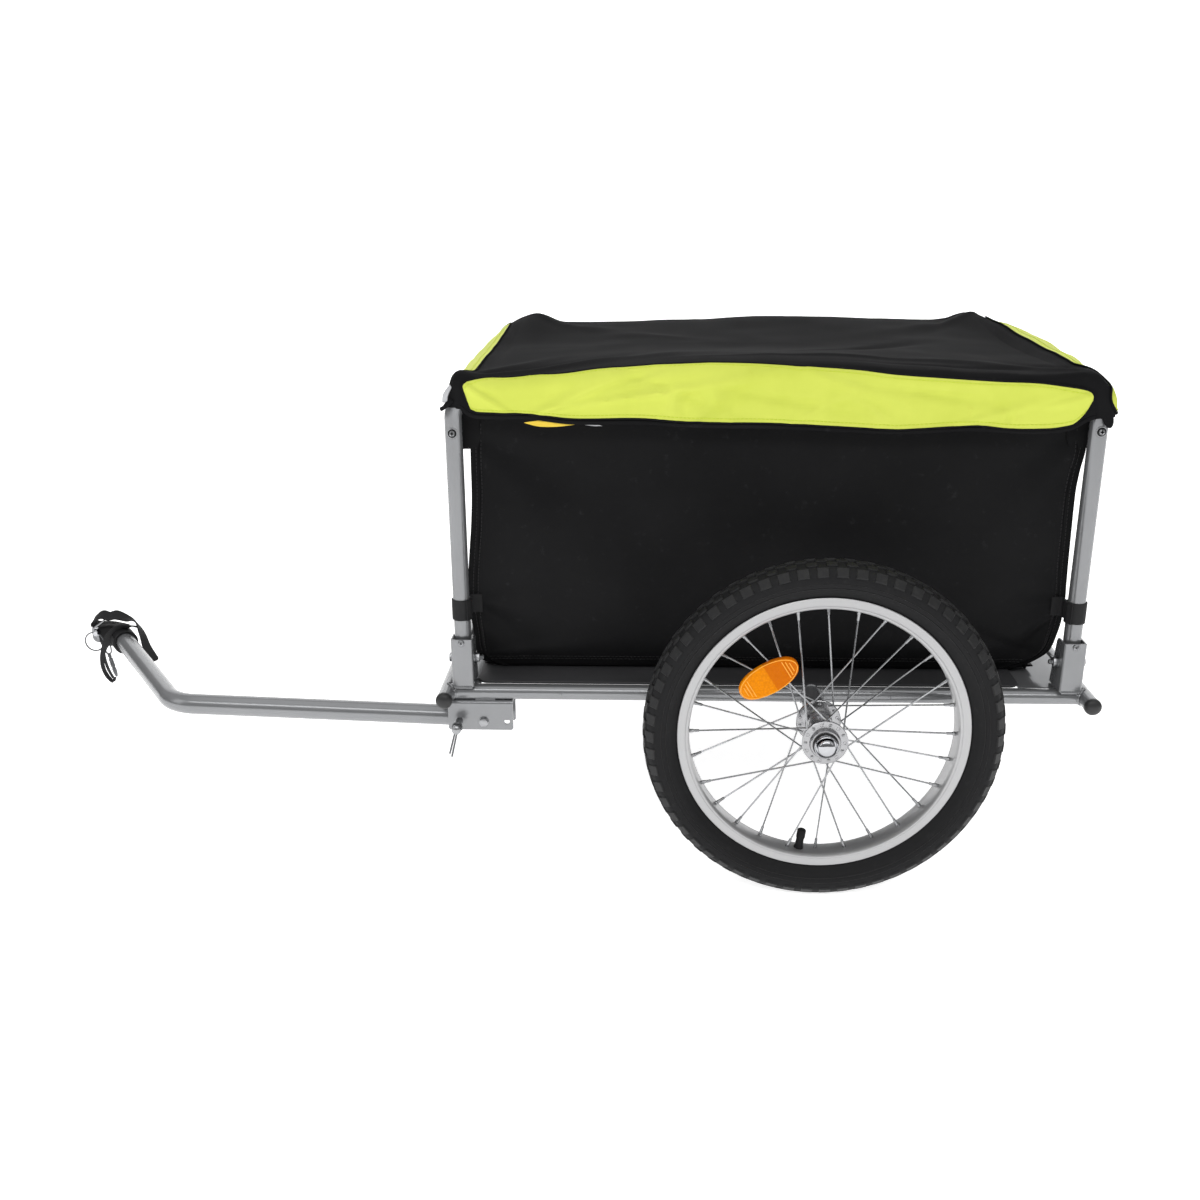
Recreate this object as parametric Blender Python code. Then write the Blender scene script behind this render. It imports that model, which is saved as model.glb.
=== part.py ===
"""Folding bicycle cargo trailer: steel base with quick-release wheels, fold-down side
frames, a sewn bag, a lift-off cover and a drawbar that folds under the base.

Metres, +Z up. The trailer rolls towards -X, and its left side, -Y, carries the drawbar.
The origin is on the ground under the middle of the whole trailer."""

import math

import bmesh
import bpy
from mathutils import Matrix, Vector

X, Y, Z = Vector((1, 0, 0)), Vector((0, 1, 0)), Vector((0, 0, 1))
LEFT, RIGHT = -1, 1
SIDE_NAMES = {LEFT: "left", RIGHT: "right"}

# Facets round a turned piece
TYRE_SIDES = 36
HUB_SIDES = 20

# Clearances
TOUCH_GAP = 0.0003  # between faces that touch
RUNNING_GAP = 0.0003  # round a shaft in its bore
BOLT_GAP = 0.0004  # round a bolt in its hole

# Wheels
AXLE_X = 0.329
TRACK = 0.710
TYRE_RADIUS = 0.200
TYRE_WIDTH = 0.047
TYRE_WALL = 0.0035
BEAD_WIDTH = 0.003
TYRE_HEIGHT = 0.038  # tread above the rim's edge
RIM_WIDTH = 0.030
RIM_DEPTH = 0.014
RIM_WALL = 0.0022
FLANGE_RADIUS = 0.0255
FLANGE_SPACING = 0.059
FLANGE_THICK = 0.003
HUB_BARREL_RADIUS = 0.0135
HUB_END_RADIUS = 0.0165
HUB_END = 0.006  # each end beyond its flange
SPOKE_COUNT = 28
SPOKE_RADIUS = 0.001
SPOKE_CROSS = 2  # hub holes between a spoke's two ends
SPOKE_STAGGER = 0.0024
SPOKE_RIM_OFFSET = 0.002
SPOKE_HOLE_INSET = 0.004
SPOKE_SAMPLES = 400  # points along a spoke, to seat the reflector
AXLE_RADIUS = 0.006
AXLE_HEAD_RADIUS = 0.0135
AXLE_HEAD = 0.003
AXLE_PAST_RAIL = 0.007
BUTTON_RADIUS = 0.0115
BUTTON_STEM_RADIUS = 0.003
BUTTON_TRAVEL = 0.003
BUTTON_DOME = 0.005
BUTTON_EDGE = 0.0012
BUTTON_SPARE = 0.0005  # left below the pressed button
STEM_DEPTH = 0.010  # stem bore, from the axle head's seat
REFLECTOR_LENGTH = 0.072
REFLECTOR_WIDTH = 0.034
REFLECTOR_THICK = 0.007
REFLECTOR_IN = 0.0665  # its middle, in from the rim's edge
REFLECTOR_BEARING = 131.5  # degrees about the axle, from the rear
REFLECTOR_LEAN = 32.0

# Base
RAIL_SPAN = 0.500
RAIL_RISE = 0.002  # rail axis above the wheel axle
TUBE_RADIUS = 0.0095
TUBE_WALL = 0.0015
POST_AHEAD = 0.417  # front posts ahead of the wheel axle
POST_BEHIND = 0.300
CROSS_OFFSET = 0.021  # cross tubes beyond the posts
CROSS_OVERHANG = 0.029  # cross tubes past the rails
CAP_RADIUS = 0.0100
CAP_DOME = 0.006
CAP_LIP = 0.003
CAP_PLUG = 0.014
SOCKET_RADIUS = 0.013
SOCKET_CLEAR = 0.005  # hub end to socket mouth
STRIP_THICK = 0.002
STRIP_WIDTH_FRONT = 0.040
STRIP_WIDTH_REAR = 0.075
STRIP_DROP = 0.002  # strip top below the tube tops
STRIP_BITE = 0.0005  # into the cross tube's wall, where it is welded
BOARD_THICK = 0.003
BOARD_BEHIND_BRACKET = 0.009  # board's front edge behind the front brackets
BOARD_AHEAD = 0.053  # its rear edge ahead of the rear posts

# Post brackets and posts
SHEET = 0.002
WEB_OUT = 0.013  # web face outside the rail axis
FOLD_IN = 0.003  # fold axis inboard of the rail axis
BRACKET_WIDTH = 0.026
BRACKET_HEIGHT = 0.061
FLANGE_TOP = 0.028
FLANGE_BOTTOM = 0.040
FOLD_RADIUS = 0.003
FOLD_AXIS_RISE = 0.043  # fold axis above the rail axis
POST_RADIUS = 0.010
POST_WALL = 0.0015
POST_TAIL = 0.0082  # post below the fold axis
POST_BEND = 0.033
TOP_RAIL_Z = 0.566
M6_RADIUS = 0.003
M6_HEAD_RADIUS = 0.0055
M6_HEAD = 0.004
M6_NUT = 0.0075  # with its washer
LOCK_SCREW_RISE = 0.0235  # above the fold axis
LOCK_SCREW_RADIUS = 0.0025
LOCK_SCREW_HEAD_RADIUS = 0.0036
LOCK_SCREW_HEAD = 0.0022
LOCK_SCREW_REACH = 0.0020  # into the post's wall
CORNER_SCREW_DROP = 0.0475  # below the top rail's axis
CORNER_SCREW_RADIUS = 0.0024
CORNER_WASHER_RADIUS = 0.0058
CORNER_WASHER = 0.0010
CORNER_HEAD_RADIUS = 0.0043
CORNER_HEAD = 0.0024
CORNER_SHANK = 0.006

# Bag
CLOTH = 0.004
BAG_INSET = 0.003  # bag ends inside the posts
BAG_BOTTOM_IN = 0.055  # bottom edge inboard of the rail
BAG_SIDE_CLEAR = 0.002
BAG_TOP_DROP = 0.014  # below the top rail's axis
STRAP_Z = 0.307
STRAP_WIDTH = 0.025
STRAP_THICK = 0.0015
STRAP_TAB = 0.0042  # its tab, towards the bag
STRAP_TAB_WIDTH = 0.006

# Cover
COVER_THICK = 0.0022
COVER_CLEAR = 0.0008
HEM_DROP = {"front": 0.033, "rear": 0.039}  # below the top rails' axis
COVER_CROWN = 0.010
COVER_EDGE_RUN = 0.050
COVER_CORNER_STEPS = 4

# Drawbar
BAR_RADIUS = 0.0127
BAR_WALL = 0.002
BAR_IN = 0.008  # drawbar axis inboard of the rail axis
BAR_RISE = 1.95  # degrees, up to the front
PIVOT_BEHIND_POST = 0.0225  # drawbar pivot behind the front post
PIVOT_DROP = 0.0367  # below the rail axis
BAR_TAIL = 0.018
BAR_STRAIGHT = 0.3905  # pivot to the bend's corner
BAR_LEG = 0.279  # bend's corner to the tube's end
BAR_TURN = 55.0  # degrees, in plan
BAR_BEND = 0.050
CHANNEL_WIDTH = 0.032
CHANNEL_DEPTH = 0.038
CHANNEL_AHEAD = 0.0435  # channel ahead of its pivot
CHANNEL_BEHIND = 0.0360
PIN_OFFSET = 0.030  # lock pin ahead of the pivot
SPARE_OFFSET = 0.0285  # spare bolt hole behind the pivot
PIN_RADIUS = 0.004
PIN_PAST_CHANNEL = 0.003
PIN_CHAMFER = 0.002
PIN_OUT = 0.022  # neck outside the channel
PIN_HEAD_RADIUS = 0.006
PIN_HEAD = 0.008
CLIP_WIRE = 0.00125
CLIP_DROP = 0.036

# Hitch
PLUG_LENGTH = 0.030
COLLAR = 0.004
BLADE_THICK = 0.006
BLADE_HEIGHT = 0.026
BLADE_REACH = 0.040
BLADE_RISE = 0.002  # blade's middle above the drawbar axis
HITCH_PIN_RISE = 0.007
HITCH_PIN_BACK = 0.011  # from the blade's front end
HITCH_PIN_RADIUS = 0.004
HITCH_HEAD_RADIUS = 0.007
HITCH_HEAD = 0.003
HITCH_STUB = 0.011
HITCH_PAST = 0.010
RING_RADIUS = 0.0135
RING_WIRE = 0.001
WEBBING = 0.018
WEBBING_THICK = 0.002
WRAP_BACK = 0.003  # wrap's front edge from the tube's end
TETHER_OFF = 0.0025  # between the tether and the blade
TETHER_WIDTH = 0.006
TETHER_LENGTH = 0.078
TETHER_SWAY = 0.003
HOOK_WIRE = 0.0012
HOOK_RADIUS = 0.0030
HOOK_LENGTH = 0.036
HOOK_LEAN = 0.20

# Worked out from the sizes above
AXLE_Z = TYRE_RADIUS
RIM_RADIUS = TYRE_RADIUS - TYRE_HEIGHT
REFLECTOR_RADIUS = RIM_RADIUS - REFLECTOR_IN  # from the axle to its middle
RAIL_Y = RAIL_SPAN / 2
RAIL_Z = AXLE_Z + RAIL_RISE
WHEEL_Y = TRACK / 2
POST_Y = RAIL_Y - FOLD_IN
POST_X = {"front": AXLE_X - POST_AHEAD, "rear": AXLE_X + POST_BEHIND}
CROSS_X = {"front": POST_X["front"] - CROSS_OFFSET, "rear": POST_X["rear"] + CROSS_OFFSET}
FOLD_Z = RAIL_Z + FOLD_AXIS_RISE
CORNER_SCREW_Z = TOP_RAIL_Z - CORNER_SCREW_DROP
BAG_TOP_Z = TOP_RAIL_Z - BAG_TOP_DROP
HEM_Z = {end: TOP_RAIL_Z - drop for end, drop in HEM_DROP.items()}
HUB_REACH = FLANGE_SPACING / 2 + FLANGE_THICK / 2 + HUB_END
BAR_Y = -(RAIL_Y - BAR_IN)
PIVOT_X = POST_X["front"] + PIVOT_BEHIND_POST
PIVOT_Z = RAIL_Z - PIVOT_DROP
RAIL_TOP_Z = RAIL_Z + TUBE_RADIUS
STRIP_TOP_Z = RAIL_TOP_Z - STRIP_DROP
BOARD_TOP_Z = STRIP_TOP_Z + TOUCH_GAP + BOARD_THICK


def clear_scene():
    for obj in list(bpy.data.objects):
        bpy.data.objects.remove(obj)


def finish(name, colour, roughness, metallic=0.0):
    """A plain material of one colour."""
    mat = bpy.data.materials.new(name)
    mat.use_nodes = True
    shader = mat.node_tree.nodes["Principled BSDF"]
    shader.inputs["Base Color"].default_value = (*colour, 1.0)
    shader.inputs["Roughness"].default_value = roughness
    shader.inputs["Metallic"].default_value = metallic
    return mat


def add_object(name, bm, mat, sharp=35.0):
    """Turns a bmesh into an object of the scene, shaded smooth up to an angle."""
    mesh = bpy.data.meshes.new(name)
    bm.to_mesh(mesh)
    bm.free()
    mesh.materials.append(mat)
    mesh.shade_smooth()
    mesh.set_sharp_from_angle(angle=math.radians(sharp))
    obj = bpy.data.objects.new(name, mesh)
    bpy.context.scene.collection.objects.link(obj)
    return obj


def make_cutter(obj):
    obj.hide_render = True
    obj.display_type = "WIRE"
    return obj


def add_boolean(obj, other, operation="DIFFERENCE"):
    change = obj.modifiers.new(other.name, "BOOLEAN")
    change.operation = operation
    change.object = other


def add_wall(obj, thickness):
    """Gives an open skin a wall on its inner side."""
    wall = obj.modifiers.new("Wall", "SOLIDIFY")
    wall.thickness = thickness
    wall.offset = -1.0
    wall.use_even_offset = True


def turned(name, outline, centre, axis, mat, sides=24, closed=True):
    """Turns an outline of (along, radius) points about an axis through centre."""
    axis = Vector(axis).normalized()
    first = -Z if abs(axis.z) < 0.9 else X
    out = (first - axis * first.dot(axis)).normalized()
    bm = bmesh.new()
    points = [bm.verts.new(Vector(centre) + axis * a + out * r) for a, r in outline]
    edges = [bm.edges.new(pair) for pair in zip(points, points[1:])]
    if closed:
        edges.append(bm.edges.new((points[-1], points[0])))
    bmesh.ops.spin(
        bm, geom=points + edges, cent=centre, axis=axis, angle=math.tau, steps=sides, use_merge=True
    )
    bmesh.ops.remove_doubles(bm, verts=bm.verts, dist=1e-6)
    bmesh.ops.recalc_face_normals(bm, faces=bm.faces)
    return add_object(name, bm, mat)


def rod_cutter(name, start, end, radius, sides=12):
    """A round cutter from start to end."""
    start, end = Vector(start), Vector(end)
    outline = [(0, 0), (0, radius), ((end - start).length, radius), ((end - start).length, 0)]
    rod = turned(name, outline, start, end - start, None, sides, closed=False)
    return make_cutter(rod)


def drill(obj, start, end, radius, sides=12):
    add_boolean(obj, rod_cutter(obj.name + "_hole", start, end, radius, sides))


def tube(name, start, heading, runs, radius, wall, mat, sides=16, bend_steps=4):
    """A tube of straight runs, (length,), and bends, (angle, bend radius, towards)."""
    point, heading = Vector(start), Vector(heading).normalized()
    bm = bmesh.new()
    turn = heading.to_track_quat("Z", "X").to_matrix().to_4x4()
    bmesh.ops.create_circle(bm, segments=sides, radius=radius, matrix=Matrix.Translation(point) @ turn)
    ring = bm.edges[:]
    for run in runs:
        if len(run) == 1:
            made = bmesh.ops.extrude_edge_only(bm, edges=ring)["geom"]
            ends = [v for v in made if isinstance(v, bmesh.types.BMVert)]
            bmesh.ops.translate(bm, verts=ends, vec=heading * run[0])
            ring = [e for e in made if isinstance(e, bmesh.types.BMEdge) and set(e.verts) <= set(ends)]
            point = point + heading * run[0]
        else:
            angle, bend_radius, towards = run
            centre, axis = point + towards * bend_radius, heading.cross(towards)
            verts = list({v for e in ring for v in e.verts})
            made = bmesh.ops.spin(
                bm, geom=verts + ring, cent=centre, axis=axis, angle=math.radians(angle), steps=bend_steps
            )["geom_last"]
            ring = [e for e in made if isinstance(e, bmesh.types.BMEdge)]
            turn = Matrix.Rotation(math.radians(angle), 3, axis)
            point, heading = centre + turn @ (point - centre), turn @ heading
    if not wall:
        bmesh.ops.holes_fill(bm, edges=bm.edges[:], sides=0)
    bmesh.ops.recalc_face_normals(bm, faces=bm.faces)
    obj = add_object(name, bm, mat)
    if wall:
        add_wall(obj, wall)
    return obj


def slab(name, outline, along, mat):
    """Extrudes a flat outline of points along a vector."""
    bm = bmesh.new()
    face = bm.faces.new([bm.verts.new(p) for p in outline])
    made = bmesh.ops.extrude_face_region(bm, geom=[face])["geom"]
    bmesh.ops.translate(bm, verts=[v for v in made if isinstance(v, bmesh.types.BMVert)], vec=along)
    bmesh.ops.recalc_face_normals(bm, faces=bm.faces)
    return add_object(name, bm, mat)


def block(name, low, high, mat):
    (x0, y0, z0), (x1, y1, z1) = low, high
    outline = [(x0, y0, z0), (x1, y0, z0), (x1, y1, z0), (x0, y1, z0)]
    return slab(name, outline, Z * (z1 - z0), mat)


def ribbon(name, path, across, width, thick, mat):
    """A flat band that follows a path, with its width along one direction."""
    path = [Vector(p) for p in path]
    across = Vector(across).normalized()
    bm = bmesh.new()
    rings = []
    for i, p in enumerate(path):
        along = (path[min(i + 1, len(path) - 1)] - path[max(i - 1, 0)]).normalized()
        up = along.cross(across).normalized()
        corners = ((-1, -1), (1, -1), (1, 1), (-1, 1))
        rings.append([bm.verts.new(p + across * a * width / 2 + up * b * thick / 2) for a, b in corners])
    for a, b in zip(rings, rings[1:]):
        for i in range(4):
            bm.faces.new((a[i], a[(i + 1) % 4], b[(i + 1) % 4], b[i]))
    bm.faces.new(rings[0][::-1])
    bm.faces.new(rings[-1])
    bmesh.ops.recalc_face_normals(bm, faces=bm.faces)
    return add_object(name, bm, mat)


def hex_bolt(name, start, axis, grip, mat, head=M6_HEAD, nut=M6_NUT, tip=0.004):
    """An M6 bolt with its nut: the head ends at start, and the nut sits past the grip."""
    far = grip + nut
    outline = [
        (-head, 0),
        (-head, M6_HEAD_RADIUS),
        (0, M6_HEAD_RADIUS),
        (0, M6_RADIUS),
        (grip, M6_RADIUS),
        (grip, M6_HEAD_RADIUS),
        (far, M6_HEAD_RADIUS),
        (far, M6_RADIUS),
        (far + tip, M6_RADIUS),
        (far + tip, 0),
    ]
    return turned(name, outline, start, axis, mat, sides=6, closed=False)


def make_tyre(side, centre, mat):
    """A rubber shell, open to the rim, whose beads sit inside the rim's walls."""
    half, bead = TYRE_WIDTH / 2, RIM_WIDTH / 2 - RIM_WALL - TOUCH_GAP
    foot = RIM_RADIUS - RIM_DEPTH + 2 * RIM_WALL + TOUCH_GAP * 2
    section = TYRE_RADIUS - RIM_RADIUS
    outer = [
        (0, TYRE_RADIUS),
        (half * 0.55, TYRE_RADIUS - section * 0.06),
        (half * 0.90, TYRE_RADIUS - section * 0.27),
        (half, TYRE_RADIUS - section * 0.55),
        (bead, RIM_RADIUS + TOUCH_GAP),
        (bead, foot),
    ]
    inner = [
        (bead - BEAD_WIDTH, foot),
        (bead - BEAD_WIDTH, RIM_RADIUS + TOUCH_GAP),
        (half - TYRE_WALL, TYRE_RADIUS - section * 0.55),
        (half * 0.55, TYRE_RADIUS - section * 0.06 - TYRE_WALL),
    ]
    right = outer + inner
    left = [(-a, r) for a, r in reversed(right) if a]
    turned(f"tyre_{SIDE_NAMES[side]}", right + left, centre, Y, mat, sides=TYRE_SIDES)


def make_rim(side, centre, mat):
    """A box rim: two upright walls and a hollow-looking well between them."""
    half = RIM_WIDTH / 2
    inner = RIM_RADIUS - RIM_DEPTH
    right = [
        (half, RIM_RADIUS),
        (half, inner + RIM_WALL),
        (half - RIM_WALL * 2, inner),
    ]
    well = [(half - RIM_WALL, inner + 2 * RIM_WALL), (half - RIM_WALL, RIM_RADIUS)]
    left = [(-a, r) for a, r in reversed(right)]
    far_well = [(-a, r) for a, r in reversed(well)]
    turned(f"rim_{SIDE_NAMES[side]}", right + left + far_well + well, centre, Y, mat, sides=TYRE_SIDES)


def spoke_ends(index, side, centre):
    """Hub end and rim end of one spoke. Even spokes leave the outer flange."""
    flange = side if index % 2 == 0 else -side
    leading = 1 if index // 2 % 2 == 0 else -1
    rim_angle = math.tau * index / SPOKE_COUNT
    hub_angle = rim_angle + leading * SPOKE_CROSS * math.tau * 2 / SPOKE_COUNT
    hub_y = flange * FLANGE_SPACING / 2 + side * leading * SPOKE_STAGGER / 2
    facet = math.cos(math.pi / TYRE_SIDES)
    rim_radius = (RIM_RADIUS - RIM_DEPTH) * facet - TOUCH_GAP

    def at(angle, radius, y):
        return centre + Vector((math.cos(angle) * radius, y, math.sin(angle) * radius))

    hub_end = at(hub_angle, FLANGE_RADIUS - SPOKE_HOLE_INSET, hub_y)
    return hub_end, at(rim_angle, rim_radius, flange * SPOKE_RIM_OFFSET)


def make_hub(side, centre, mat):
    """Hub shell with its bore, and the crossed spokes laced to it."""
    bore, half = AXLE_RADIUS + RUNNING_GAP, FLANGE_SPACING / 2
    inside, outside = half - FLANGE_THICK / 2, half + FLANGE_THICK / 2
    right = [
        (inside * 0.55, HUB_BARREL_RADIUS),
        (inside, HUB_BARREL_RADIUS * 1.25),
        (inside, FLANGE_RADIUS),
        (outside, FLANGE_RADIUS),
        (outside, HUB_END_RADIUS),
        (HUB_REACH, HUB_END_RADIUS * 0.92),
        (HUB_REACH, bore),
    ]
    left = [(-a, r) for a, r in reversed(right)]
    hub = turned(f"hub_and_spokes_{SIDE_NAMES[side]}", left + right, centre, Y, mat, sides=HUB_SIDES)
    spokes = []
    for index in range(SPOKE_COUNT):
        start, end = spoke_ends(index, side, centre)
        length = (end - start).length
        outline = [(0, 0), (0, SPOKE_RADIUS), (length, SPOKE_RADIUS), (length, 0)]
        spoke = turned("spoke", outline, start, end - start, mat, sides=4, closed=False)
        spokes.append(spoke)
    bm = bmesh.new()
    for spoke in spokes:
        bm.from_mesh(spoke.data)
        bpy.data.objects.remove(spoke)
    laced = make_cutter(add_object(hub.name + "_lacing", bm, mat))
    add_boolean(hub, laced, "UNION")


def make_axle(side, centre, mat, chrome):
    """Quick-release axle with its head and, inside the head, the release button."""
    out = Vector((0, side, 0))
    reach = WHEEL_Y - RAIL_Y + TUBE_RADIUS + AXLE_PAST_RAIL
    head = HUB_REACH + TOUCH_GAP
    stem = BUTTON_STEM_RADIUS + RUNNING_GAP
    recess = BUTTON_TRAVEL + 2 * BUTTON_SPARE
    outline = [
        (-reach, 0),
        (-reach, AXLE_RADIUS * 0.7),
        (-reach + AXLE_RADIUS * 0.4, AXLE_RADIUS),
        (head, AXLE_RADIUS),
        (head, AXLE_HEAD_RADIUS),
        (head + AXLE_HEAD + recess, AXLE_HEAD_RADIUS),
        (head + AXLE_HEAD + recess, BUTTON_RADIUS + RUNNING_GAP),
        (head + AXLE_HEAD, BUTTON_RADIUS + RUNNING_GAP),
        (head + AXLE_HEAD, stem),
        (head - STEM_DEPTH, stem),
        (head - STEM_DEPTH, 0),
    ]
    turned(f"axle_{SIDE_NAMES[side]}", outline, centre, out, mat, sides=20, closed=False)
    seat = head + AXLE_HEAD + BUTTON_TRAVEL + BUTTON_SPARE
    rim = seat + BUTTON_EDGE
    stem_end = head - STEM_DEPTH + recess
    button = [
        (stem_end, 0),
        (stem_end, BUTTON_STEM_RADIUS),
        (seat, BUTTON_STEM_RADIUS),
        (seat, BUTTON_RADIUS),
        (rim, BUTTON_RADIUS),
        (rim + BUTTON_DOME * 0.75, BUTTON_RADIUS * 0.62),
        (rim + BUTTON_DOME, 0),
    ]
    turned(f"release_button_{SIDE_NAMES[side]}", button, centre, out, chrome, sides=20, closed=False)


def spokes_under(side, centre, middle, along):
    """How far the spokes that cross the reflector reach out from the wheel's middle."""
    straight = (REFLECTOR_LENGTH - REFLECTOR_WIDTH) / 2
    reach = 0
    for index in range(0, SPOKE_COUNT, 2):
        start, end = spoke_ends(index, side, centre)
        for step in range(SPOKE_SAMPLES + 1):
            point = start.lerp(end, step / SPOKE_SAMPLES)
            offset = Vector((point.x - middle.x, 0, point.z - middle.z))
            nearest = along * max(-straight, min(straight, offset.dot(along)))
            if (offset - nearest).length <= REFLECTOR_WIDTH / 2:
                reach = max(reach, side * (point.y - centre.y))
    return reach + SPOKE_RADIUS


def reflector_frame(side, centre):
    """Middle of the reflector's back, on the spokes, its long direction and its short one."""
    bearing, lean = math.radians(REFLECTOR_BEARING), math.radians(REFLECTOR_LEAN)
    middle = centre + Vector((math.cos(bearing), 0, math.sin(bearing))) * REFLECTOR_RADIUS
    along = Vector((math.cos(lean), 0, math.sin(lean)))
    middle.y += side * (spokes_under(side, centre, middle, along) + TOUCH_GAP)
    return middle, along, along.cross(Y)


def make_reflector(side, centre, mat):
    """An oval reflector clipped on the outer spokes."""
    middle, along, up = reflector_frame(side, centre)
    straight = (REFLECTOR_LENGTH - REFLECTOR_WIDTH) / 2
    outline = []
    for end in (1, -1):
        for step in range(7):
            angle = math.radians(-90 + 30 * step)
            turn = Vector((math.cos(angle), math.sin(angle)))
            reach = end * (straight + turn.x * REFLECTOR_WIDTH / 2)
            outline.append(middle + along * reach + up * end * turn.y * REFLECTOR_WIDTH / 2)
    slab(f"reflector_{SIDE_NAMES[side]}", outline, Y * side * REFLECTOR_THICK, mat)


def make_wheel(side, mats):
    centre = Vector((AXLE_X, side * WHEEL_Y, AXLE_Z))
    make_tyre(side, centre, mats["rubber"])
    make_rim(side, centre, mats["aluminium"])
    make_hub(side, centre, mats["steel"])
    make_axle(side, centre, mats["steel"], mats["chrome"])
    make_reflector(side, centre, mats["amber"])


def make_rail(side, mat):
    """Side rail, shaped at both ends to the cross tubes and drilled for the axle."""
    y, name = side * RAIL_Y, f"rail_{SIDE_NAMES[side]}"
    length = CROSS_X["rear"] - CROSS_X["front"]
    rail = tube(name, (CROSS_X["front"], y, RAIL_Z), X, [(length,)], TUBE_RADIUS, TUBE_WALL, mat)
    for x in CROSS_X.values():
        reach = Y * TUBE_RADIUS * 2
        middle = Vector((x, y, RAIL_Z))
        drill(rail, middle - reach, middle + reach, TUBE_RADIUS + TOUCH_GAP, sides=16)
    middle = Vector((AXLE_X, y, AXLE_Z))
    drill(rail, middle - Y * 2 * TUBE_RADIUS, middle + Y * 2 * TUBE_RADIUS, AXLE_RADIUS + RUNNING_GAP)
    return rail


def make_cross_tube(end, mat):
    """Cross tube with the flat strip welded along its inner side."""
    x, reach = CROSS_X[end], RAIL_Y + CROSS_OVERHANG
    inward = 1 if end == "front" else -1
    cross = tube(f"{end}_cross_tube", (x, -reach, RAIL_Z), Y, [(2 * reach,)], TUBE_RADIUS, TUBE_WALL, mat)
    rise = STRIP_TOP_Z - STRIP_THICK / 2 - RAIL_Z
    root = x + inward * (math.sqrt(TUBE_RADIUS**2 - rise**2) - TUBE_WALL - STRIP_BITE)
    width = STRIP_WIDTH_FRONT if end == "front" else STRIP_WIDTH_REAR
    side = RAIL_Y - TUBE_RADIUS - TOUCH_GAP
    low, high = sorted((root, x + inward * width))
    strip = block(
        cross.name + "_strip", (low, -side, STRIP_TOP_Z - STRIP_THICK), (high, side, STRIP_TOP_Z), mat
    )
    add_boolean(cross, make_cutter(strip), "UNION")


def make_end_cap(end, side, mat):
    """Domed plastic cap with its plug inside the cross tube."""
    inner = TUBE_RADIUS - TUBE_WALL - TOUCH_GAP
    outline = [
        (-CAP_PLUG, 0),
        (-CAP_PLUG, inner),
        (TOUCH_GAP, inner),
        (TOUCH_GAP, CAP_RADIUS),
        (CAP_LIP, CAP_RADIUS),
        (CAP_LIP + CAP_DOME * 0.7, CAP_RADIUS * 0.7),
        (CAP_LIP + CAP_DOME, 0),
    ]
    centre = (CROSS_X[end], side * (RAIL_Y + CROSS_OVERHANG), RAIL_Z)
    name = f"end_cap_{end}_{SIDE_NAMES[side]}"
    turned(name, outline, centre, (0, side, 0), mat, sides=16, closed=False)


def make_axle_socket(side, mat):
    """Sleeve welded to the rail, in which the axle plugs."""
    mouth = WHEEL_Y - HUB_REACH - SOCKET_CLEAR
    bore = AXLE_RADIUS + RUNNING_GAP
    outline = [(RAIL_Y, bore), (mouth, bore), (mouth, SOCKET_RADIUS), (RAIL_Y, SOCKET_RADIUS)]
    centre = Vector((AXLE_X, 0, AXLE_Z))
    socket = turned(f"axle_socket_{SIDE_NAMES[side]}", outline, centre, (0, side, 0), mat, sides=20)
    rail = Vector((AXLE_X, side * RAIL_Y, RAIL_Z))
    reach = X * 2 * SOCKET_RADIUS
    drill(socket, rail - reach, rail + reach, TUBE_RADIUS + TOUCH_GAP, sides=16)


def make_post_bracket(end, side, mat):
    """Folded channel, welded on the rail, in which a post folds inwards."""
    x, half = POST_X[end], BRACKET_WIDTH / 2
    web = side * (RAIL_Y + WEB_OUT)
    low, high = RAIL_TOP_Z + TOUCH_GAP, RAIL_TOP_Z + BRACKET_HEIGHT
    bm = bmesh.new()

    def corners(dx, depth_low, depth_high):
        return (
            bm.verts.new((x + dx, web - side * depth_low, low)),
            bm.verts.new((x + dx, web - side * depth_high, high)),
        )

    strips = [
        corners(-half, FLANGE_BOTTOM, FLANGE_TOP),
        corners(-half, 0, 0),
        corners(half, 0, 0),
        corners(half, FLANGE_BOTTOM, FLANGE_TOP),
    ]
    for a, b in zip(strips, strips[1:]):
        bm.faces.new((a[0], b[0], b[1], a[1]))
    folds = [e for e in bm.edges if len(e.link_faces) == 2]
    bmesh.ops.bevel(bm, geom=folds, offset=FOLD_RADIUS, segments=2, affect="EDGES", profile=0.5)
    for face in bm.faces:
        outward = Vector((face.calc_center_median().x - x, side * 0.001, 0))
        outward.y = 0 if abs(face.normal.x) > 0.9 else outward.y
        if face.normal.dot(outward) < 0:
            face.normal_flip()
    bracket = add_object(f"post_bracket_{end}_{SIDE_NAMES[side]}", bm, mat)
    add_wall(bracket, SHEET)
    middle = Vector((x, side * POST_Y, FOLD_Z))
    drill(bracket, middle - X * BRACKET_WIDTH, middle + X * BRACKET_WIDTH, M6_RADIUS + BOLT_GAP)
    screw = Vector((x, web, FOLD_Z + LOCK_SCREW_RISE))
    drill(bracket, screw - Y * 2 * SHEET, screw + Y * 2 * SHEET, LOCK_SCREW_RADIUS + BOLT_GAP)


def make_post_bolt(end, side, mat):
    """Bolt along X on which a post turns."""
    away = -1 if end == "front" else 1
    seat = BRACKET_WIDTH / 2 + TOUCH_GAP
    start = Vector((POST_X[end] + away * seat, side * POST_Y, FOLD_Z))
    hex_bolt(f"post_bolt_{end}_{SIDE_NAMES[side]}", start, -X * away, 2 * seat, mat)


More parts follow.
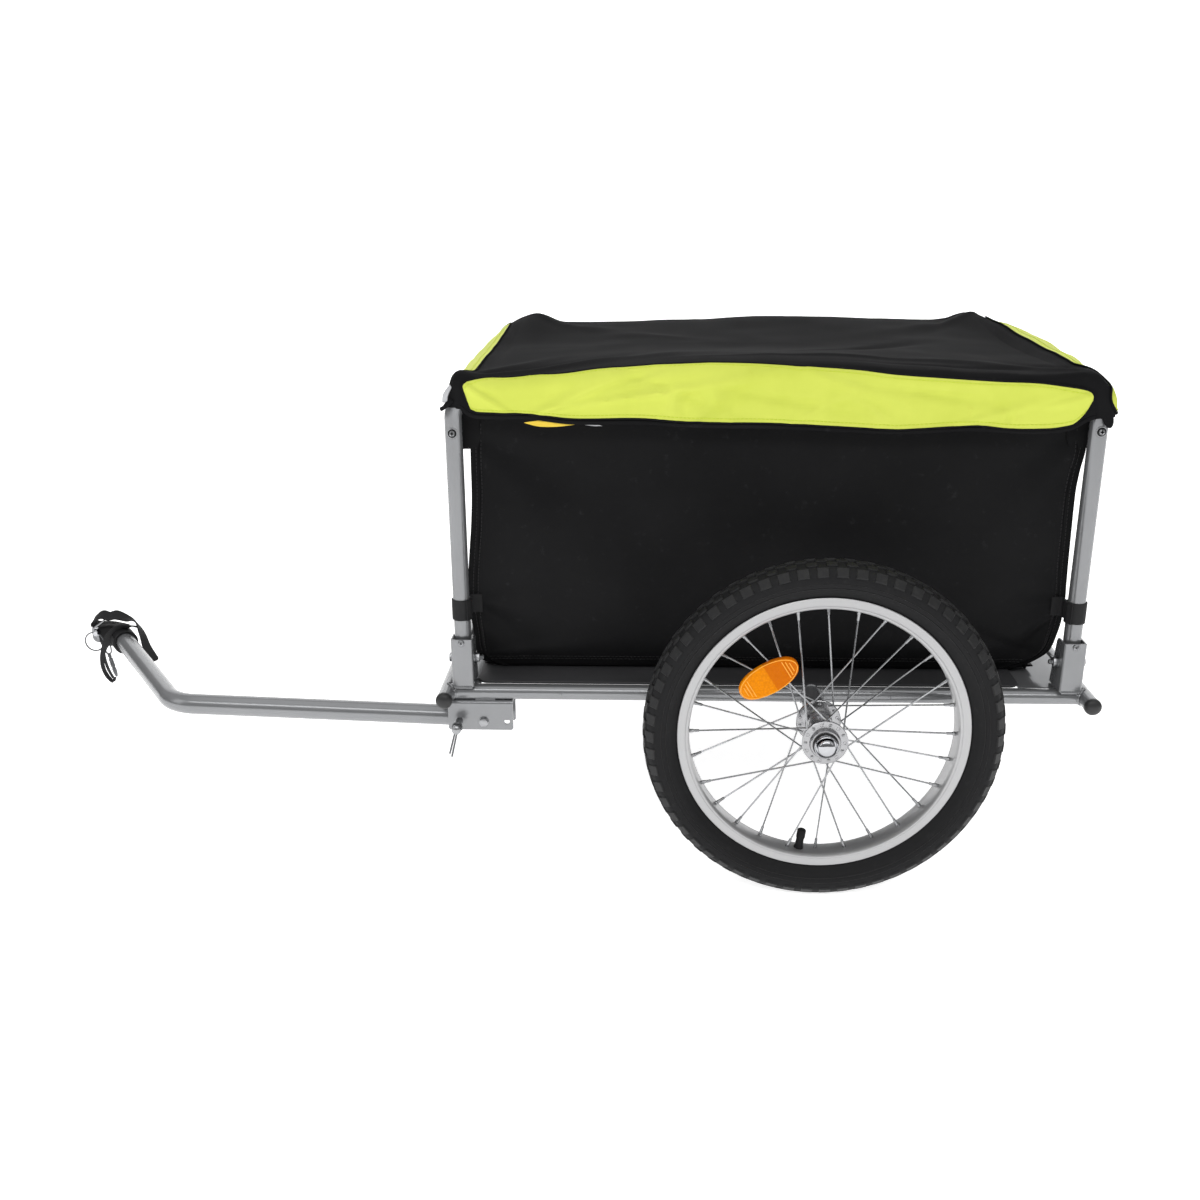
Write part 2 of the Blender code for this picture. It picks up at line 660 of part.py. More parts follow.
def make_lock_screw(end, side, mat):
    """Screw through the bracket's web, whose end reaches into the upright post."""
    web = RAIL_Y + WEB_OUT + TOUCH_GAP
    tip = POST_Y + POST_RADIUS - LOCK_SCREW_REACH
    outline = [
        (tip, 0),
        (tip, LOCK_SCREW_RADIUS),
        (web, LOCK_SCREW_RADIUS),
        (web, LOCK_SCREW_HEAD_RADIUS),
        (web + LOCK_SCREW_HEAD * 0.5, LOCK_SCREW_HEAD_RADIUS),
        (web + LOCK_SCREW_HEAD, LOCK_SCREW_HEAD_RADIUS * 0.6),
        (web + LOCK_SCREW_HEAD, 0),
    ]
    centre = (POST_X[end], 0, FOLD_Z + LOCK_SCREW_RISE)
    name = f"lock_screw_{end}_{SIDE_NAMES[side]}"
    turned(name, outline, centre, (0, side, 0), mat, sides=8, closed=False)


def make_side_frame(side, mat):
    """Two posts and a top rail, bent from one tube."""
    y, name = side * POST_Y, f"side_frame_{SIDE_NAMES[side]}"
    front, rear = POST_X["front"], POST_X["rear"]
    low = FOLD_Z - POST_TAIL
    rise, across = TOP_RAIL_Z - POST_BEND - low, rear - front - 2 * POST_BEND
    runs = [(rise,), (90, POST_BEND, X), (across,), (90, POST_BEND, -Z), (rise,)]
    frame = tube(name, (front, y, low), Z, runs, POST_RADIUS, POST_WALL, mat, sides=12)
    for x in (front, rear):
        pivot = Vector((x, y, FOLD_Z))
        drill(frame, pivot - X * 2 * POST_RADIUS, pivot + X * 2 * POST_RADIUS, M6_RADIUS + BOLT_GAP, 10)
        lock = Vector((x, y, FOLD_Z + LOCK_SCREW_RISE))
        drill(frame, lock, lock + Y * side * 2 * POST_RADIUS, LOCK_SCREW_RADIUS + 3 * BOLT_GAP, 10)
        screw = Vector((x, y, CORNER_SCREW_Z))
        drill(frame, screw, screw + Y * side * 2 * POST_RADIUS, CORNER_SCREW_RADIUS + BOLT_GAP, 8)


def make_corner_screw(end, side, mat):
    """Pan screw and washer that hold a corner of the bag to its post."""
    seat = POST_Y + POST_RADIUS + TOUCH_GAP
    outline = [
        (seat - CORNER_SHANK, 0),
        (seat - CORNER_SHANK, CORNER_SCREW_RADIUS),
        (seat, CORNER_SCREW_RADIUS),
        (seat, CORNER_WASHER_RADIUS),
        (seat + CORNER_WASHER, CORNER_WASHER_RADIUS),
        (seat + CORNER_WASHER, CORNER_HEAD_RADIUS),
        (seat + CORNER_WASHER + CORNER_HEAD * 0.5, CORNER_HEAD_RADIUS),
        (seat + CORNER_WASHER + CORNER_HEAD, CORNER_HEAD_RADIUS * 0.6),
        (seat + CORNER_WASHER + CORNER_HEAD, 0),
    ]
    centre = (POST_X[end], 0, CORNER_SCREW_Z)
    name = f"corner_screw_{end}_{SIDE_NAMES[side]}"
    turned(name, outline, centre, (0, side, 0), mat, sides=10, closed=False)


def make_floor_board(mat):
    """Board that rests on the two strips, between the rails."""
    side = RAIL_Y - TUBE_RADIUS * 0.6 - TOUCH_GAP
    front = POST_X["front"] + BRACKET_WIDTH / 2 + BOARD_BEHIND_BRACKET
    rear = POST_X["rear"] - BOARD_AHEAD
    low = BOARD_TOP_Z - BOARD_THICK
    block("floor_board", (front, -side, low), (rear, side, BOARD_TOP_Z), mat)


def bag_side_line(side):
    """The bag's left or right side in the Y-Z plane, from the floor up."""
    top = POST_Y - POST_RADIUS - BAG_SIDE_CLEAR
    low = RAIL_Y - BAG_BOTTOM_IN
    floor = BOARD_TOP_Z + TOUCH_GAP
    height = BAG_TOP_Z - floor
    line = []
    for share, lean in ((0, 0), (0.12, 0.42), (0.28, 0.72), (0.5, 0.93), (1, 1)):
        line.append((side * (low + (top - low) * lean), floor + height * share))
    return line


def make_bag(mat):
    """Sewn bag: two side panels, and one panel that is its floor and both ends."""
    front = POST_X["front"] + POST_RADIUS + BAG_INSET
    rear = POST_X["rear"] - POST_RADIUS - BAG_INSET
    for side in (LEFT, RIGHT):
        line = bag_side_line(side)
        inner = [(y - side * CLOTH, z) for y, z in reversed(line)]
        outline = [(front, y, z) for y, z in line + inner]
        slab(f"bag_{SIDE_NAMES[side]}", outline, X * (rear - front), mat)
    floor = BOARD_TOP_Z + TOUCH_GAP
    gap = CLOTH + TOUCH_GAP
    left, right = bag_side_line(LEFT), bag_side_line(RIGHT)
    section = [(front, y + gap, z) for y, z in left] + [(front, y - gap, z) for y, z in reversed(right)]
    bag = slab("bag_ends_and_floor", section, X * (rear - front), mat)
    hollow = make_cutter(
        block(
            "bag_hollow",
            (front + CLOTH, -RAIL_Y, floor + CLOTH),
            (rear - CLOTH, RAIL_Y, BAG_TOP_Z + CLOTH),
            mat,
        )
    )
    add_boolean(bag, hollow)


def make_bag_strap(end, side, mat):
    """Hook-and-loop strap round a post, with its tab sewn to the bag's corner."""
    inner = POST_RADIUS + TOUCH_GAP
    outer = inner + STRAP_THICK
    half = STRAP_WIDTH / 2
    centre = Vector((POST_X[end], side * POST_Y, STRAP_Z))
    outline = [(-half, inner), (half, inner), (half, outer), (-half, outer)]
    strap = turned(f"bag_strap_{end}_{SIDE_NAMES[side]}", outline, centre, Z, mat, sides=16)
    inward = 1 if end == "front" else -1
    low = centre + Vector((inward * inner, -STRAP_TAB_WIDTH / 2, -half * 0.98))
    high = centre + Vector((inward * (inner + STRAP_TAB), STRAP_TAB_WIDTH / 2, half * 0.98))
    corners = [tuple(map(min, low, high)), tuple(map(max, low, high))]
    add_boolean(strap, make_cutter(block(strap.name + "_tab", *corners, mat)), "UNION")


def cover_ring(bm, inset_x, inset_y, z, radius):
    """One level of the cover: a rectangle round the four posts with round corners."""
    verts = []
    reach = POST_RADIUS + COVER_CLEAR + COVER_THICK
    corners = (("rear", RIGHT, 0), ("front", RIGHT, 90), ("front", LEFT, 180), ("rear", LEFT, 270))
    for end, side, start in corners:
        away = 1 if end == "rear" else -1
        height = z[end] if isinstance(z, dict) else z
        corner = Vector((POST_X[end], side * POST_Y, height))
        corner += Vector((away * (reach - radius - inset_x), side * (reach - radius - inset_y), 0))
        for step in range(COVER_CORNER_STEPS + 1):
            angle = math.radians(start + 90 * step / COVER_CORNER_STEPS)
            verts.append(bm.verts.new(corner + Vector((math.cos(angle), math.sin(angle), 0)) * radius))
    return verts


def cover_levels():
    """The cover's levels: they follow the side frames' bends at a constant distance."""
    reach = POST_RADIUS + COVER_CLEAR + COVER_THICK
    bend = POST_BEND + reach
    start = TOP_RAIL_Z - POST_BEND
    levels = [(0, 0, HEM_Z, reach), (0, 0, start + reach * 0.2, reach)]
    for angle in (25, 45, 60, 75, 90):
        turn = math.radians(angle)
        z = start + bend * math.sin(turn)
        rise = max(z - TOP_RAIL_Z, 0)
        inset_y = reach - math.sqrt(max(reach**2 - rise**2, 0))
        levels.append((bend * (1 - math.cos(turn)), inset_y, z, reach * 0.9))
    top = levels[-1]
    for share, rise in ((1, 0.6), (3, 1.0)):
        run = COVER_EDGE_RUN * share
        levels.append((top[0] + run, top[1] + run, top[2] + COVER_CROWN * rise, reach * 0.9))
    return levels


def make_cover(mat):
    """Fitted fabric cover over both side frames, open below, with a crowned top."""
    bm = bmesh.new()
    rings = [cover_ring(bm, *level) for level in cover_levels()]
    for a, b in zip(rings, rings[1:]):
        for i in range(len(a)):
            bm.faces.new((a[i - 1], a[i], b[i], b[i - 1]))
    bm.faces.new(rings[-1])
    bmesh.ops.recalc_face_normals(bm, faces=bm.faces)
    add_wall(add_object("cover", bm, mat), COVER_THICK)


def make_drawbar_bracket(mat):
    """Folded channel, open below, welded under the left rail and the front cross tube."""
    top = RAIL_Z - TUBE_RADIUS - TOUCH_GAP
    half = CHANNEL_WIDTH / 2
    start = PIVOT_X - CHANNEL_AHEAD
    bm = bmesh.new()
    line = [(-half, top - CHANNEL_DEPTH), (-half, top), (half, top), (half, top - CHANNEL_DEPTH)]
    verts = [bm.verts.new((start, BAR_Y + dy, z)) for dy, z in line]
    edges = [bm.edges.new(pair) for pair in zip(verts, verts[1:])]
    made = bmesh.ops.extrude_edge_only(bm, edges=edges)["geom"]
    length = CHANNEL_AHEAD + CHANNEL_BEHIND
    bmesh.ops.translate(bm, verts=[v for v in made if isinstance(v, bmesh.types.BMVert)], vec=X * length)
    folds = [e for e in bm.edges if len(e.link_faces) == 2]
    bmesh.ops.bevel(bm, geom=folds, offset=FOLD_RADIUS * 1.5, segments=3, affect="EDGES", profile=0.5)
    middle = Vector((PIVOT_X, BAR_Y, PIVOT_Z))
    for face in bm.faces:
        if face.normal.dot(face.calc_center_median() - middle) < 0:
            face.normal_flip()
    channel = add_object("drawbar_bracket", bm, mat)
    add_wall(channel, SHEET)
    reach = Y * CHANNEL_WIDTH
    drill(channel, middle - reach, middle + reach, M6_RADIUS + BOLT_GAP)
    for offset, radius in ((-PIN_OFFSET, PIN_RADIUS), (SPARE_OFFSET, M6_RADIUS)):
        hole = middle + X * offset
        drill(channel, hole - reach, hole + reach, radius + BOLT_GAP)


def make_drawbar_bolt(mat):
    seat = CHANNEL_WIDTH / 2 + TOUCH_GAP
    hex_bolt("drawbar_pivot_bolt", (PIVOT_X, BAR_Y - seat, PIVOT_Z), Y, 2 * seat, mat)


def bar_frame():
    """Matrix from the drawbar's own frame, level at its pivot, to the trailer."""
    rise = Matrix.Rotation(math.radians(BAR_RISE), 4, Y)
    return Matrix.Translation((PIVOT_X, BAR_Y, PIVOT_Z)) @ rise


def leg_direction():
    turn = math.radians(BAR_TURN)
    return Vector((-math.cos(turn), math.sin(turn), 0))


def bar_end():
    """End of the drawbar's tube, in the drawbar's own frame."""
    return Vector((-BAR_STRAIGHT, 0, 0)) + leg_direction() * BAR_LEG


def make_drawbar(mat):
    """Bent tube that turns under the frame on its pivot."""
    setback = BAR_BEND * math.tan(math.radians(BAR_TURN / 2))
    runs = [
        (BAR_TAIL + BAR_STRAIGHT - setback,),
        (BAR_TURN, BAR_BEND, Y),
        (BAR_LEG - setback,),
    ]
    bar = tube("drawbar", (BAR_TAIL, 0, 0), -X, runs, BAR_RADIUS, BAR_WALL, mat, sides=18)
    bar.matrix_world = bar_frame()
    reach = Y * 2 * BAR_RADIUS
    pivot = Vector((PIVOT_X, BAR_Y, PIVOT_Z))
    drill(bar, pivot - reach, pivot + reach, M6_RADIUS + BOLT_GAP)
    pin = pivot - X * PIN_OFFSET
    slot = PIN_RADIUS + 2 * BOLT_GAP
    drill(bar, pin - reach, pin + reach, slot)
    arc_back = PIN_OFFSET - math.sqrt(PIN_OFFSET**2 - (BAR_RADIUS + PIN_RADIUS) ** 2)
    low = pin + Vector((-slot, -2 * BAR_RADIUS, 0))
    high = pin + Vector((slot + arc_back, 2 * BAR_RADIUS, 2 * BAR_RADIUS))
    add_boolean(bar, make_cutter(block("drawbar_slot", low, high, mat)))


def make_lock_pin(mat):
    """Pull pin through the channel and the drawbar, and the clip that hangs on it."""
    half = CHANNEL_WIDTH / 2
    neck = half + PIN_OUT
    outline = [
        (-half - PIN_PAST_CHANNEL, 0),
        (-half - PIN_PAST_CHANNEL, PIN_RADIUS * 0.6),
        (-half - PIN_PAST_CHANNEL + PIN_CHAMFER, PIN_RADIUS),
        (neck, PIN_RADIUS),
        (neck, PIN_HEAD_RADIUS * 0.8),
        (neck + PIN_HEAD * 0.4, PIN_HEAD_RADIUS),
        (neck + PIN_HEAD * 0.8, PIN_HEAD_RADIUS * 0.7),
        (neck + PIN_HEAD, 0),
    ]
    centre = Vector((PIVOT_X - PIN_OFFSET, BAR_Y, PIVOT_Z))
    turned("lock_pin", outline, centre, -Y, mat, sides=14, closed=False)
    loop = PIN_RADIUS + CLIP_WIRE + RUNNING_GAP
    y = -(neck - 3 * CLIP_WIRE)
    ring = [(CLIP_WIRE * a, loop + CLIP_WIRE * b) for a, b in ((1, 0), (0, 1), (-1, 0), (0, -1))]
    clip = turned("lock_pin_clip", ring, centre + Y * y, Y, mat, sides=12)
    top = centre + Vector((0, y, -loop))
    foot = top + Vector((-CLIP_DROP * 0.3, 0, -CLIP_DROP))
    outline = [(0, 0), (0, CLIP_WIRE), ((foot - top).length, CLIP_WIRE), ((foot - top).length, 0)]
    tail = turned("clip_tail", outline, top, foot - top, mat, sides=6, closed=False)
    add_boolean(clip, make_cutter(tail), "UNION")


def make_hitch_fitting(frame, mat):
    """Plug in the drawbar's end with a collar and an upright blade that carries the pin."""
    end, leg = bar_end(), leg_direction()
    plug = BAR_RADIUS - BAR_WALL - TOUCH_GAP
    outline = [
        (-PLUG_LENGTH, 0),
        (-PLUG_LENGTH, plug),
        (TOUCH_GAP, plug),
        (TOUCH_GAP, BAR_RADIUS),
        (COLLAR, BAR_RADIUS),
        (COLLAR, 0),
    ]
    fitting = turned("hitch_fitting", outline, end, leg, mat, sides=18, closed=False)
    middle = end + leg * COLLAR
    low = middle + Vector((-BLADE_REACH, -BLADE_THICK / 2, BLADE_RISE - BLADE_HEIGHT / 2))
    high = middle + Vector((0, BLADE_THICK / 2, BLADE_RISE + BLADE_HEIGHT / 2))
    blade = make_cutter(block("hitch_blade", low, high, mat))
    add_boolean(fitting, blade, "UNION")
    fitting.matrix_world = blade.matrix_world = frame
    pin, reach = frame @ hitch_pin_place(), Y * 2 * BLADE_THICK
    drill(fitting, pin - reach, pin + reach, HITCH_PIN_RADIUS + BOLT_GAP)


def hitch_pin_place():
    """Where the hitch pin crosses the blade's mid-plane, in the drawbar's own frame."""
    middle = bar_end() + leg_direction() * COLLAR
    return middle + Vector((-BLADE_REACH + HITCH_PIN_BACK, 0, HITCH_PIN_RISE))


def hitch_stub_end():
    """The pull end of the hitch pin, from the blade's mid-plane."""
    return BLADE_THICK / 2 + TOUCH_GAP + HITCH_HEAD + HITCH_STUB


def ring_eye():
    """The cross hole near the hitch pin's pull end."""
    return bar_frame() @ hitch_pin_place() - Y * (hitch_stub_end() - HITCH_PIN_RADIUS)


def make_hitch_pin(frame, mat):
    """Pin through the blade, and the pull ring in its outer end."""
    face, stub = BLADE_THICK / 2 + TOUCH_GAP, hitch_stub_end()
    outline = [
        (-face - HITCH_PAST, 0),
        (-face - HITCH_PAST, HITCH_PIN_RADIUS),
        (face, HITCH_PIN_RADIUS),
        (face, HITCH_HEAD_RADIUS),
        (face + HITCH_HEAD, HITCH_HEAD_RADIUS),
        (face + HITCH_HEAD, HITCH_PIN_RADIUS),
        (stub, HITCH_PIN_RADIUS),
        (stub, 0),
    ]
    pin = turned("hitch_pin", outline, frame @ hitch_pin_place(), -Y, mat, sides=14, closed=False)
    eye, reach = ring_eye(), X * 2 * HITCH_PIN_RADIUS
    drill(pin, eye - reach, eye + reach, RING_WIRE + 2 * BOLT_GAP, sides=8)
    section = [(RING_WIRE * a, RING_RADIUS + RING_WIRE * b) for a, b in ((1, 0), (0, 1), (-1, 0), (0, -1))]
    turned("hitch_ring", section, eye - Z * RING_RADIUS, Y, mat, sides=28)


def make_safety_strap(frame, mat):
    """Webbing wrapped round the drawbar's end, looped back over it, with its tail hanging."""
    inner = BAR_RADIUS + TOUCH_GAP
    outer = inner + WEBBING_THICK
    back = -WRAP_BACK - WEBBING
    outline = [(back, inner), (-WRAP_BACK, inner), (-WRAP_BACK, outer), (back, outer)]
    strap = turned("safety_strap", outline, bar_end(), leg_direction(), mat, sides=18)
    strap.matrix_world = frame
    end = frame @ bar_end()
    path = [
        end + Vector(offset)
        for offset in (
            (0.010, 0, inner + 0.0012),
            (-0.012, 0.001, 0.0185),
            (-0.034, 0.002, 0.0195),
            (-0.037, 0.002, 0.0255),
            (-0.024, 0.002, 0.0350),
            (-0.003, 0.002, 0.0345),
            (0.019, 0.001, 0.0220),
            (0.027, 0.000, 0.0190),
            (0.035, -0.012, 0.0000),
            (0.049, -0.028, -0.0160),
            (0.056, -0.033, -0.0210),
        )
    ]
    loop = ribbon("safety_loop", path, Y, WEBBING, WEBBING_THICK, mat)
    add_boolean(strap, make_cutter(loop), "UNION")


def make_tether(frame, mat, steel):
    """Short tether that hangs from the hitch pin, and the snap hook beside it."""
    pin = frame @ hitch_pin_place()
    near = BLADE_THICK / 2 + TETHER_OFF
    inner = HITCH_PIN_RADIUS + TOUCH_GAP
    outer = inner + WEBBING_THICK
    outline = [(near, inner), (near + TETHER_WIDTH, inner), (near + TETHER_WIDTH, outer), (near, outer)]
    tether = turned("tether_strap", outline, pin, Y, mat, sides=14)
    middle = pin + Y * (near + TETHER_WIDTH / 2)
    eye = HOOK_RADIUS + HOOK_WIRE
    path = [
        middle - Z * (inner + WEBBING_THICK / 2),
        middle + Vector((-TETHER_SWAY, 0, -TETHER_LENGTH * 0.3)),
        middle + Vector((-TETHER_SWAY, 0, -TETHER_LENGTH * 0.7)),
        middle + Vector((TETHER_SWAY * 2, 0, -TETHER_LENGTH)),
    ]
    hanging = ribbon("tether_drop", path, Y, TETHER_WIDTH, WEBBING_THICK, mat)
    add_boolean(tether, make_cutter(hanging), "UNION")
    aside = -TETHER_SWAY + WEBBING_THICK / 2 + TOUCH_GAP + eye + HOOK_WIRE
    top = middle + Vector((aside, 0, -TETHER_LENGTH * 0.45))
    section = [(HOOK_WIRE * a, eye + HOOK_WIRE * b) for a, b in ((1, 0), (0, 1), (-1, 0), (0, -1))]
    hook = turned("snap_hook", section, top, Y, steel, sides=14)
    shank = [
        (0, 0),
        (0, HOOK_RADIUS * 0.6),
        (HOOK_LENGTH * 0.3, HOOK_RADIUS),
        (HOOK_LENGTH * 0.8, HOOK_RADIUS),
        (HOOK_LENGTH, HOOK_RADIUS * 0.6),
        (HOOK_LENGTH, 0),
    ]
    lean = Vector((HOOK_LEAN, 0, -1))
    body = turned("hook_shank", shank, top - Z * eye, lean, steel, sides=8, closed=False)
    add_boolean(hook, make_cutter(body), "UNION")


def put_on_joint(name, place, nodes):
    """An empty on a joint's axis, and the pieces that move on it, parented to it."""
    joint = bpy.data.objects.new(name, None)
    joint.location = place
    bpy.context.scene.collection.objects.link(joint)
    for node in nodes:
        piece = bpy.data.objects[node]
        for member in [piece] + [m.object for m in piece.modifiers if m.type == "BOOLEAN"]:
            member.parent = joint
            member.matrix_parent_inverse = Matrix.Translation(-Vector(place))
    return joint


def place_joints():
    """Empties on the joints' axes. A joint carried by another is parented to it."""
    for side, name in SIDE_NAMES.items():
        hub = Vector((AXLE_X, side * WHEEL_Y, AXLE_Z))
        pull = put_on_joint(f"axle_pull_{name}", hub, [f"axle_{name}"])
        turning = [f"{piece}_{name}" for piece in ("tyre", "rim", "hub_and_spokes", "reflector")]
        spin = put_on_joint(f"wheel_spin_{name}", hub, turning)
        press = put_on_joint(f"button_press_{name}", hub, [f"release_button_{name}"])
        for carried in (spin, press):
            carry(carried, pull)
        held = [f"{piece}_{end}_{name}" for piece in ("corner_screw", "bag_strap") for end in POST_X]
        fold = Vector((AXLE_X, side * POST_Y, FOLD_Z))
        put_on_joint(f"side_fold_{name}", fold, [f"side_frame_{name}"] + held)
    pivot = Vector((PIVOT_X, BAR_Y, PIVOT_Z))
    bar = ["drawbar", "hitch_fitting", "safety_strap", "tether_strap", "snap_hook"]
    drawbar = put_on_joint("drawbar_fold", pivot, bar)
    put_on_joint("lock_pin_pull", pivot - X * PIN_OFFSET, ["lock_pin", "lock_pin_clip"])
    pin = bar_frame() @ hitch_pin_place()
    pin_pull = put_on_joint("hitch_pin_pull", pin, ["hitch_pin"])
    swing = put_on_joint("hitch_ring_swing", ring_eye(), ["hitch_ring"])
    carry(pin_pull, drawbar)
    carry(swing, pin_pull)
    put_on_joint("cover_lift", (AXLE_X, 0, TOP_RAIL_Z), ["cover"])


def carry(joint, carrier):
    joint.parent = carrier
    joint.location = Vector(joint.location) - world_place(carrier)


def world_place(joint):
    """Where a joint's empty lies, through the joints that carry it."""
    place = Vector(joint.location)
    return place + world_place(joint.parent) if joint.parent else place


def make_base(mats):
    steel, plastic = mats["painted_steel"], mats["plastic"]
    for side in (LEFT, RIGHT):
        make_rail(side, steel)
        make_axle_socket(side, steel)
        for end in ("front", "rear"):
            make_end_cap(end, side, plastic)
            make_post_bracket(end, side, steel)
            make_post_bolt(end, side, mats["steel"])
            make_lock_screw(end, side, mats["steel"])
    for end in ("front", "rear"):
        make_cross_tube(end, steel)
    make_floor_board(mats["board"])
    make_drawbar_bracket(steel)
    make_drawbar_bolt(mats["steel"])


def make_sides(mats):
    for side in (LEFT, RIGHT):
        make_side_frame(side, mats["painted_steel"])
        for end in ("front", "rear"):
            make_corner_screw(end, side, mats["steel"])
            make_bag_strap(end, side, mats["cloth"])


def make_drawbar_group(mats):
    frame = bar_frame()
    make_drawbar(mats["painted_steel"])
    make_lock_pin(mats["steel"])
    make_hitch_fitting(frame, mats["painted_steel"])
    make_hitch_pin(frame, mats["steel"])
    make_safety_strap(frame, mats["webbing"])
    make_tether(frame, mats["webbing"], mats["steel"])


def main():
    clear_scene()
    mats = {
        "painted_steel": finish("painted_steel", (0.30, 0.30, 0.31), 0.42, 0.6),
        "steel": finish("zinc_plated_steel", (0.62, 0.62, 0.63), 0.32, 1.0),
        "chrome": finish("chrome", (0.75, 0.75, 0.76), 0.08, 1.0),
        "aluminium": finish("aluminium", (0.62, 0.63, 0.64), 0.30, 1.0),
        "rubber": finish("rubber", (0.018, 0.018, 0.019), 0.85),
        "amber": finish("amber_reflector", (0.85, 0.28, 0.02), 0.18),
        "plastic": finish("black_plastic", (0.015, 0.015, 0.016), 0.45),
        "board": finish("floor_board", (0.055, 0.055, 0.058), 0.7),
        "cloth": finish("bag_fabric", (0.012, 0.012, 0.013), 0.85),
        "cover": finish("cover_fabric", (0.03, 0.03, 0.032), 0.8),
        "webbing": finish("webbing", (0.01, 0.01, 0.01), 0.9),
    }
    for side in (LEFT, RIGHT):
        make_wheel(side, mats)
    make_base(mats)
    make_sides(mats)
    make_bag(mats["cloth"])
    make_cover(mats["cover"])
    make_drawbar_group(mats)
    place_joints()


main()
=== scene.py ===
import math

import bmesh
import bpy
from mathutils import Matrix, Vector, noise


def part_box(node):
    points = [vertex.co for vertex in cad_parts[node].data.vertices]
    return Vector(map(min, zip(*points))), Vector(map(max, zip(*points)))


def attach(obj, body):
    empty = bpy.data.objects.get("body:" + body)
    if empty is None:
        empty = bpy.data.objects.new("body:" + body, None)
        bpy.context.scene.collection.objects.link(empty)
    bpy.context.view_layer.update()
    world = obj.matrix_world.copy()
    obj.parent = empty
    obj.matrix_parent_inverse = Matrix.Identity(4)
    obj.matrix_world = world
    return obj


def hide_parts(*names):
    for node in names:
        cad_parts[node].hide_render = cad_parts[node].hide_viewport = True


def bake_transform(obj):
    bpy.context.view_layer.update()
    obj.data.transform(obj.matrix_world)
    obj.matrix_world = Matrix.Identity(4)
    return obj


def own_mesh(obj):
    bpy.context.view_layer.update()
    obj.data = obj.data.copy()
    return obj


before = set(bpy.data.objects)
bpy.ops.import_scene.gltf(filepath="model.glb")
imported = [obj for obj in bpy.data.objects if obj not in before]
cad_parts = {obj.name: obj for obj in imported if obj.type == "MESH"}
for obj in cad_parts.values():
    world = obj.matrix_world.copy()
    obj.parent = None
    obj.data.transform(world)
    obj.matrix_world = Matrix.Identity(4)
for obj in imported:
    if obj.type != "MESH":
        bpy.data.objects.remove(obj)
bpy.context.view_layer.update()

X, Y, Z = Vector((1, 0, 0)), Vector((0, 1, 0)), Vector((0, 0, 1))
LEFT, RIGHT = -1, 1
SIDES = {LEFT: "left", RIGHT: "right"}
ENDS = {"front": -1, "rear": 1}

# Camera
# It stands a little above the cover, off the left side of the trailer and just ahead of
# its middle, which is where the photograph was taken from.
CAMERA_PLACE = Vector((0.13727, -1.65491, 0.77843))
CAMERA_PITCH = 19.312
CAMERA_YAW = 3.481
CAMERA_ROLL = -0.782

lens = bpy.data.cameras.new("camera")
lens.sensor_width = 36
lens.lens = 37.612
lens.shift_x = 0.0176
lens.shift_y = 0.0226
lens.clip_start = 0.01
camera = bpy.data.objects.new("camera", lens)
turn = Matrix.Rotation(math.radians(CAMERA_YAW), 4, Z)
tilt = Matrix.Rotation(math.radians(90 - CAMERA_PITCH), 4, X)
roll = Matrix.Rotation(math.radians(CAMERA_ROLL), 4, Z)
camera.matrix_world = Matrix.Translation(CAMERA_PLACE) @ turn @ tilt @ roll
bpy.context.scene.collection.objects.link(camera)
bpy.context.scene.camera = camera

# Studio
# A pale seamless floor that turns up into a backdrop, under soft lights: a large one overhead, a
# window on each side, and a long strip above the front that draws the bright line on the tubes.
FLOOR_HALF = 6.0
BACKDROP_TURN = 1.5
PAPER_GLOW = 0.8
ROOM_LOW, ROOM_HIGH = 0.12, 0.62


def srgb(red, green, blue):
    """A colour seen on screen, 0 to 255 a channel, as Blender's linear colour."""
    channels = [c / 255 for c in (red, green, blue)]
    return tuple(c / 12.92 if c <= 0.04045 else ((c + 0.055) / 1.055) ** 2.4 for c in channels)


class Wire:
    """A socket that takes Python arithmetic: each step adds a Math node."""

    def __init__(self, finish, socket):
        self.finish, self.socket = finish, socket

    def __add__(self, other):
        return self.finish.math("ADD", self, other)

    __radd__ = __add__

    def __sub__(self, other):
        return self.finish.math("SUBTRACT", self, other)

    def __rsub__(self, other):
        return self.finish.math("SUBTRACT", other, self)

    def __mul__(self, other):
        return self.finish.math("MULTIPLY", self, other)

    __rmul__ = __mul__

    def __truediv__(self, other):
        return self.finish.math("DIVIDE", self, other)

    def __pow__(self, other):
        return self.finish.math("POWER", self, other)


